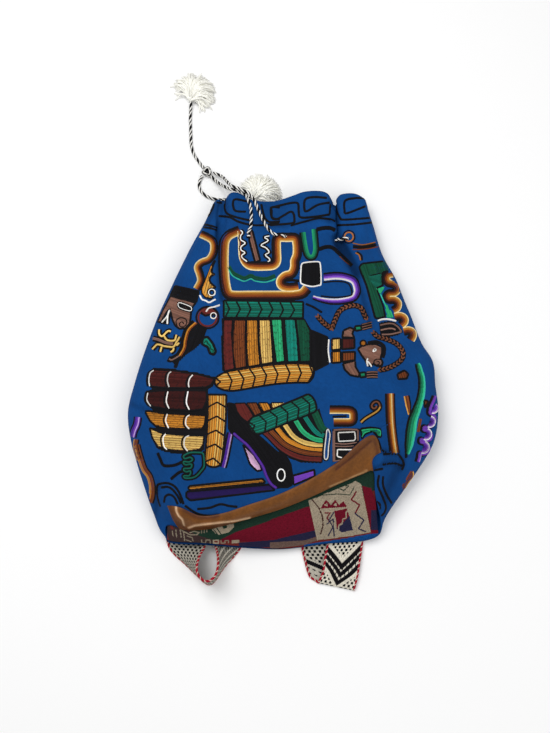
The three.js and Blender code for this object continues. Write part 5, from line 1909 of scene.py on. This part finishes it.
for colour, points in FAN:
    wide = FAN_PX * (PINE_SHARE if colour == "pine" else 1.0)
    line(MID_RIGHT, colour, wide, points, 0)
    line(WHOLE, "black", 1.7, shifted(dense(MID_RIGHT, points), -wide / 2), 1)
SLANT_AXIS = [(249, 427.5), (262, 423.5), (273, 419), (286, 413.5), (300, 408), (315, 401.5)]
feathered(WHOLE, GREENS, (9.0, 9.6), 11.8, SLANT_AXIS, (9, 5), 0.5)
OVAL = [(508, 952), (522, 1000), (510, 1100), (502, 1200), (478, 1212), (474, 1150), (488, 1020), (496, 960)]
line(MID_RIGHT, "black", 3.8, OVAL, 0, False, True)
fill(MID_RIGHT, "blue", 88, OVAL, 1)
line(MID_RIGHT, "white", 1.5, OVAL, 3, False, True)
BLOCK = [(332.5, 428.8), (345, 428), (359, 428.4), (359.4, 442), (352, 452), (342, 460.5), (332.6, 462)]
fill(WHOLE, "black", 90, BLOCK)
# Lines of the block: width, points.
BLOCK_LINES = [
    (3.0, [(334, 461.5), (333.8, 445), (334, 431)]),
    (2.0, [(333.5, 430.2), (345, 429.4), (357.5, 429.8)]),
    (1.9, [(357.8, 430), (358, 441)]),
    (1.4, [(335, 443.4), (345, 444), (357, 442.6)]),
    (1.4, [(335, 446.2), (345, 446.5), (354, 446)]),
    (1.6, [(334.5, 461), (341, 460.2)]),
]
for width, points in BLOCK_LINES:
    line(WHOLE, "taupe", width, points, 2)
line(WHOLE, "white", 1.6, [
    (338.1, 432.7), (354.7, 431.9), (355.4, 438.8), (354.1, 440.6), (338.8, 441.4),
], 4, True, True)
line(WHOLE, "white", 1.6, [(352, 449.8), (337.5, 449.6), (337.1, 456.5), (342, 457.8)], 4, True)
BRACKET = [
    (329.7, 409.7), (342.4, 409.7), (350.2, 410.2), (353.2, 412.6), (353.6, 416), (353.4, 419.8),
    (350.8, 422.2), (342.4, 422.5), (333.7, 422.5),
]
band(WHOLE, FLAME_IN, BRACKET, 0.82)
line(WHOLE, "black", 2.2, [(332.5, 416.8), (340, 416.4), (346.5, 416.2)], 2)
CURL = [
    (360.8, 422.5), (365.4, 418.4), (373, 413.8), (378.1, 410.2), (380.2, 406.7), (378.6, 402.6),
    (375.6, 401.6), (372.5, 403.6), (371.5, 406.7), (373.5, 408.7), (376.1, 407.7), (376.4, 405.7),
]
line(WHOLE, "black", 5.0, CURL, 0)
line(WHOLE, "gold", 2.0, CURL[:5], 3)
line(WHOLE, "sienna", 1.8, CURL[4:], 3)
UPRIGHT = [(1045, 640), (1048, 760), (1055, 900), (1072, 1060), (1088, 1165)]
band(MID_RIGHT, UPRIGHT_ROWS, UPRIGHT, 0.92)
SHORT_BAR = [("gold", 1.1), ("rust", 1.6), ("brown", 1.6), ("black", 1.4)]
band(MID_RIGHT, SHORT_BAR, [(1190, 660), (1205, 740), (1212, 825)], 1.0, 0, [(0, 1), (10, 1), (19, 0.2)])
ARCH_GREEN = [
    (360.5, 428.8), (370.5, 427.6), (380.2, 428.8), (381.2, 437), (377.5, 436.5), (375.5, 433),
    (370.5, 431.5), (364.5, 434), (362, 438.5),
]
patch(WHOLE, "green", 0, ARCH_GREEN)
line(WHOLE, "mint", 1.6, [(361.5, 430.5), (370.5, 429.2), (379.6, 430.4), (380, 436)], 3)
line(WHOLE, "mint", 1.4, [(362, 437), (364.5, 433), (370, 431)], 3)

# Right edge: spear, curling rope and violet wave, with the frets by the base.
group("embroidery_edge")
SPEAR = [
    (417.5, 363.6), (419.5, 371), (421.4, 378), (421.8, 389), (420, 400), (416.4, 410), (412.6, 420),
    (410.7, 431.6), (408.6, 446.5), (406.5, 458),
]
SPEAR_SHAPE = [
    (0, 0.4), (3, 0.65), (14, 0.75), (37, 0.85), (47, 0.95), (58, 1.15), (70, 1.28), (84, 1.0), (96, 0.1),
]
band(WHOLE, SPEAR_ROWS, SPEAR, 1.0, 0, SPEAR_SHAPE)
patch(MID_RIGHT, "brown", 70, [(1110, 470), (1170, 440), (1205, 470), (1190, 510), (1120, 515)])
patch(MID_RIGHT, "brown", 70, [(1338, 700), (1378, 705), (1352, 765)])
line(MID_RIGHT, "brown", 3.0, [(1312, 860), (1298, 930), (1290, 975)])
WAVE = [
    (435.5, 396), (433, 402), (430.5, 408), (430, 413), (434, 415.5), (435, 419), (433, 425), (428, 427.5),
    (424.5, 427), (424, 430), (428.5, 431), (431.5, 435), (430, 439.5), (425, 440.5), (421.5, 439),
    (421, 442), (425.5, 443.5), (429, 447.5), (427.5, 452.5), (423, 454), (420, 453), (419.5, 457),
    (418, 462),
]
line(WHOLE, "black", 6.0, [(x - 1.2, y) for x, y in WAVE], 0)
line(WHOLE, "violet", 3.6, WAVE, 1)
# Half rings of the wave: centre, radius, angles.
WAVE_RINGS = [
    ((432.6, 407.6), 6.4, (-50, 100)),
    ((429.5, 421.6), 6.2, (-75, 112)),
    ((425.6, 434.0), 6.4, (-72, 112)),
    ((422.9, 447.0), 6.8, (-72, 108)),
]
for centre, radius, angles in WAVE_RINGS:
    half_ring(PETAL, centre, radius, angles, 2)
line(WHOLE, "lilac", 1.3, [(421, 453.5), (420.5, 457), (419, 462)], 3)
SPOT = [(1240, 350), (1250, 400), (1200, 470), (1160, 538), (1152, 490), (1182, 440), (1220, 362)]
fill(LOW_RIGHT, "rust", 120, SPOT)
line(LOW_RIGHT, "gold", 1.6, [(1246, 360), (1246, 400), (1198, 470), (1165, 530)], 2)
BASE_FRETS = [
    [(985, 212), (1060, 208), (1120, 216), (1166, 290), (1150, 350)],
    [(980, 302), (1080, 290), (1150, 312)],
    [(950, 392), (940, 480), (980, 580), (1010, 670), (985, 735), (930, 752)],
    [(985, 402), (985, 480), (1020, 570), (1062, 640)],
    [(895, 575), (940, 622), (965, 680), (930, 722)],
    [(930, 70), (950, 110), (972, 172), (1010, 195)],
    [(868, 392), (920, 352), (985, 338)],
    [(868, 430), (876, 500), (905, 575)],
]
key_lines(LOW_RIGHT, BASE_FRETS)


def camera_rays(px):
    right = (px[:, 0] - PHOTO_WIDTH / 2) / FOCAL_PX
    up = (PHOTO_HEIGHT / 2 - px[:, 1]) / FOCAL_PX
    cos, sin = math.cos(CAMERA_TILT), math.sin(CAMERA_TILT)
    return np.column_stack([right, sin + up * cos, -cos + up * sin])


def on_cloth(px):
    """Points of the cloth seen at these pixels, with the cloth's smooth normals and painted shade. Misses are
    not a number.
    """
    points = np.full((len(px), 3), np.nan)
    normals = np.full((len(px), 3), np.nan)
    shades = np.ones(len(px))
    eye = Vector(CAMERA_AT)
    for k, ray in enumerate(camera_rays(px)):
        place, _, face, _ = CLOTH_TREE.ray_cast(eye, Vector(ray))
        if face is not None:
            points[k] = place
            normals[k] = flat_normals[outer_faces[face]].mean(axis=0)
            shades[k] = flat_shades[outer_faces[face]].mean()
    return points, unit(normals), shades


def embroider(name, rows):
    px = np.vstack([row[0] for row in rows])
    points, normals, shades = on_cloth(px)
    points = points.reshape(-1, SAMPLES, 3)
    normals = normals.reshape(-1, SAMPLES, 3)
    steps = np.linalg.norm(np.diff(points, axis=1), axis=2)
    charted = np.linalg.norm(np.diff(px.reshape(-1, SAMPLES, 2), axis=1), axis=2) * PX_MM
    kept = np.isfinite(points).all(axis=(1, 2)) & (steps <= MAX_STRETCH * charted + STRETCH_SLACK).all(axis=1)
    points, normals = points[kept], normals[kept]
    width = np.array([row[1] for row in rows])[kept] * PX_MM
    lift = np.array([row[2] for row in rows])[kept] * LAYER_LIFT
    # The stitches carry the painted shade of the cloth under them.
    colour = np.array([row[3] for row in rows])[kept] * shades.reshape(-1, SAMPLES).mean(axis=1)[kept, None]
    run = unit(np.gradient(points, axis=1))
    aside = unit(np.cross(normals, run))
    half = (width / 2)[:, None, None] * END_NARROW[None, :, None] * ACROSS[None, None, :]
    rise = STITCH_HEIGHT * END_DIP[None, :, None] * ARCH[None, None, :] + lift[:, None, None]
    rise = np.where(np.abs(ACROSS) == 1, STITCH_SINK, rise)
    mesh = points[:, :, None] + aside[:, :, None] * half[..., None] + normals[:, :, None] * rise[..., None]
    each = SAMPLES * len(ACROSS)
    faces = grid_faces(SAMPLES, len(ACROSS), 0)[None] + (np.arange(len(mesh)) * each)[:, None, None]
    shade = np.clip(np.repeat(colour, each, axis=0), 0, 1)
    return add_piece(name, mesh.reshape(-1, 3), faces.reshape(-1, 4), EMBROIDERY_WOOL, "cloth_blue", shade)


embroidery = [embroider(name, rows) for name, rows in stitches]


# Camera, light and floor.
WORLD_STRENGTH = 0.46
FLOOR_REACH = 4.0
FLOOR_WHITE = 0.95
FLOOR_ROUGH = 0.9
VIEW_END = 20
LIGHT_AIM = Vector((0, 0, 0.04))
# Lights: name, place, size, power.
LIGHTS = [
    ("key", (-0.7, 0.7, 2.0), 1.3, 27),
    ("fill", (0.9, -0.6, 1.8), 1.8, 12),
]


def set_stage():
    scene = bpy.context.scene
    camera = bpy.data.objects.new("photo_camera", bpy.data.cameras.new("photo_camera"))
    camera.data.lens = LENS
    camera.data.sensor_width = SENSOR
    camera.data.clip_end = VIEW_END
    camera.location = CAMERA_AT * MM
    camera.rotation_euler = (CAMERA_TILT, 0, 0)
    scene.collection.objects.link(camera)
    scene.camera = camera
    for name, place, size, power in LIGHTS:
        lamp = bpy.data.objects.new(name, bpy.data.lights.new(name, "AREA"))
        lamp.data.size = size
        lamp.data.energy = power
        lamp.location = place
        lamp.rotation_euler = (LIGHT_AIM - Vector(place)).to_track_quat("-Z", "Y").to_euler()
        scene.collection.objects.link(lamp)
    world = bpy.data.worlds.new("studio")
    world.use_nodes = True
    world.node_tree.nodes["Background"].inputs["Color"].default_value = (1, 1, 1, 1)
    world.node_tree.nodes["Background"].inputs["Strength"].default_value = WORLD_STRENGTH
    scene.world = world
    scene.view_settings.view_transform = "Standard"
    floor_mesh = bpy.data.meshes.new("floor")
    corners = [(x * FLOOR_REACH, y * FLOOR_REACH, 0) for x, y in ((-1, -1), (1, -1), (1, 1), (-1, 1))]
    floor_mesh.from_pydata(corners, [], [(0, 1, 2, 3)])
    floor = bpy.data.objects.new("floor", floor_mesh)
    material, _, _, shader = new_material("pale_floor")
    shader.inputs["Base Color"].default_value = (FLOOR_WHITE, FLOOR_WHITE, FLOOR_WHITE, 1)
    shader.inputs["Roughness"].default_value = FLOOR_ROUGH
    floor_mesh.materials.append(material)
    scene.collection.objects.link(floor)


set_stage()
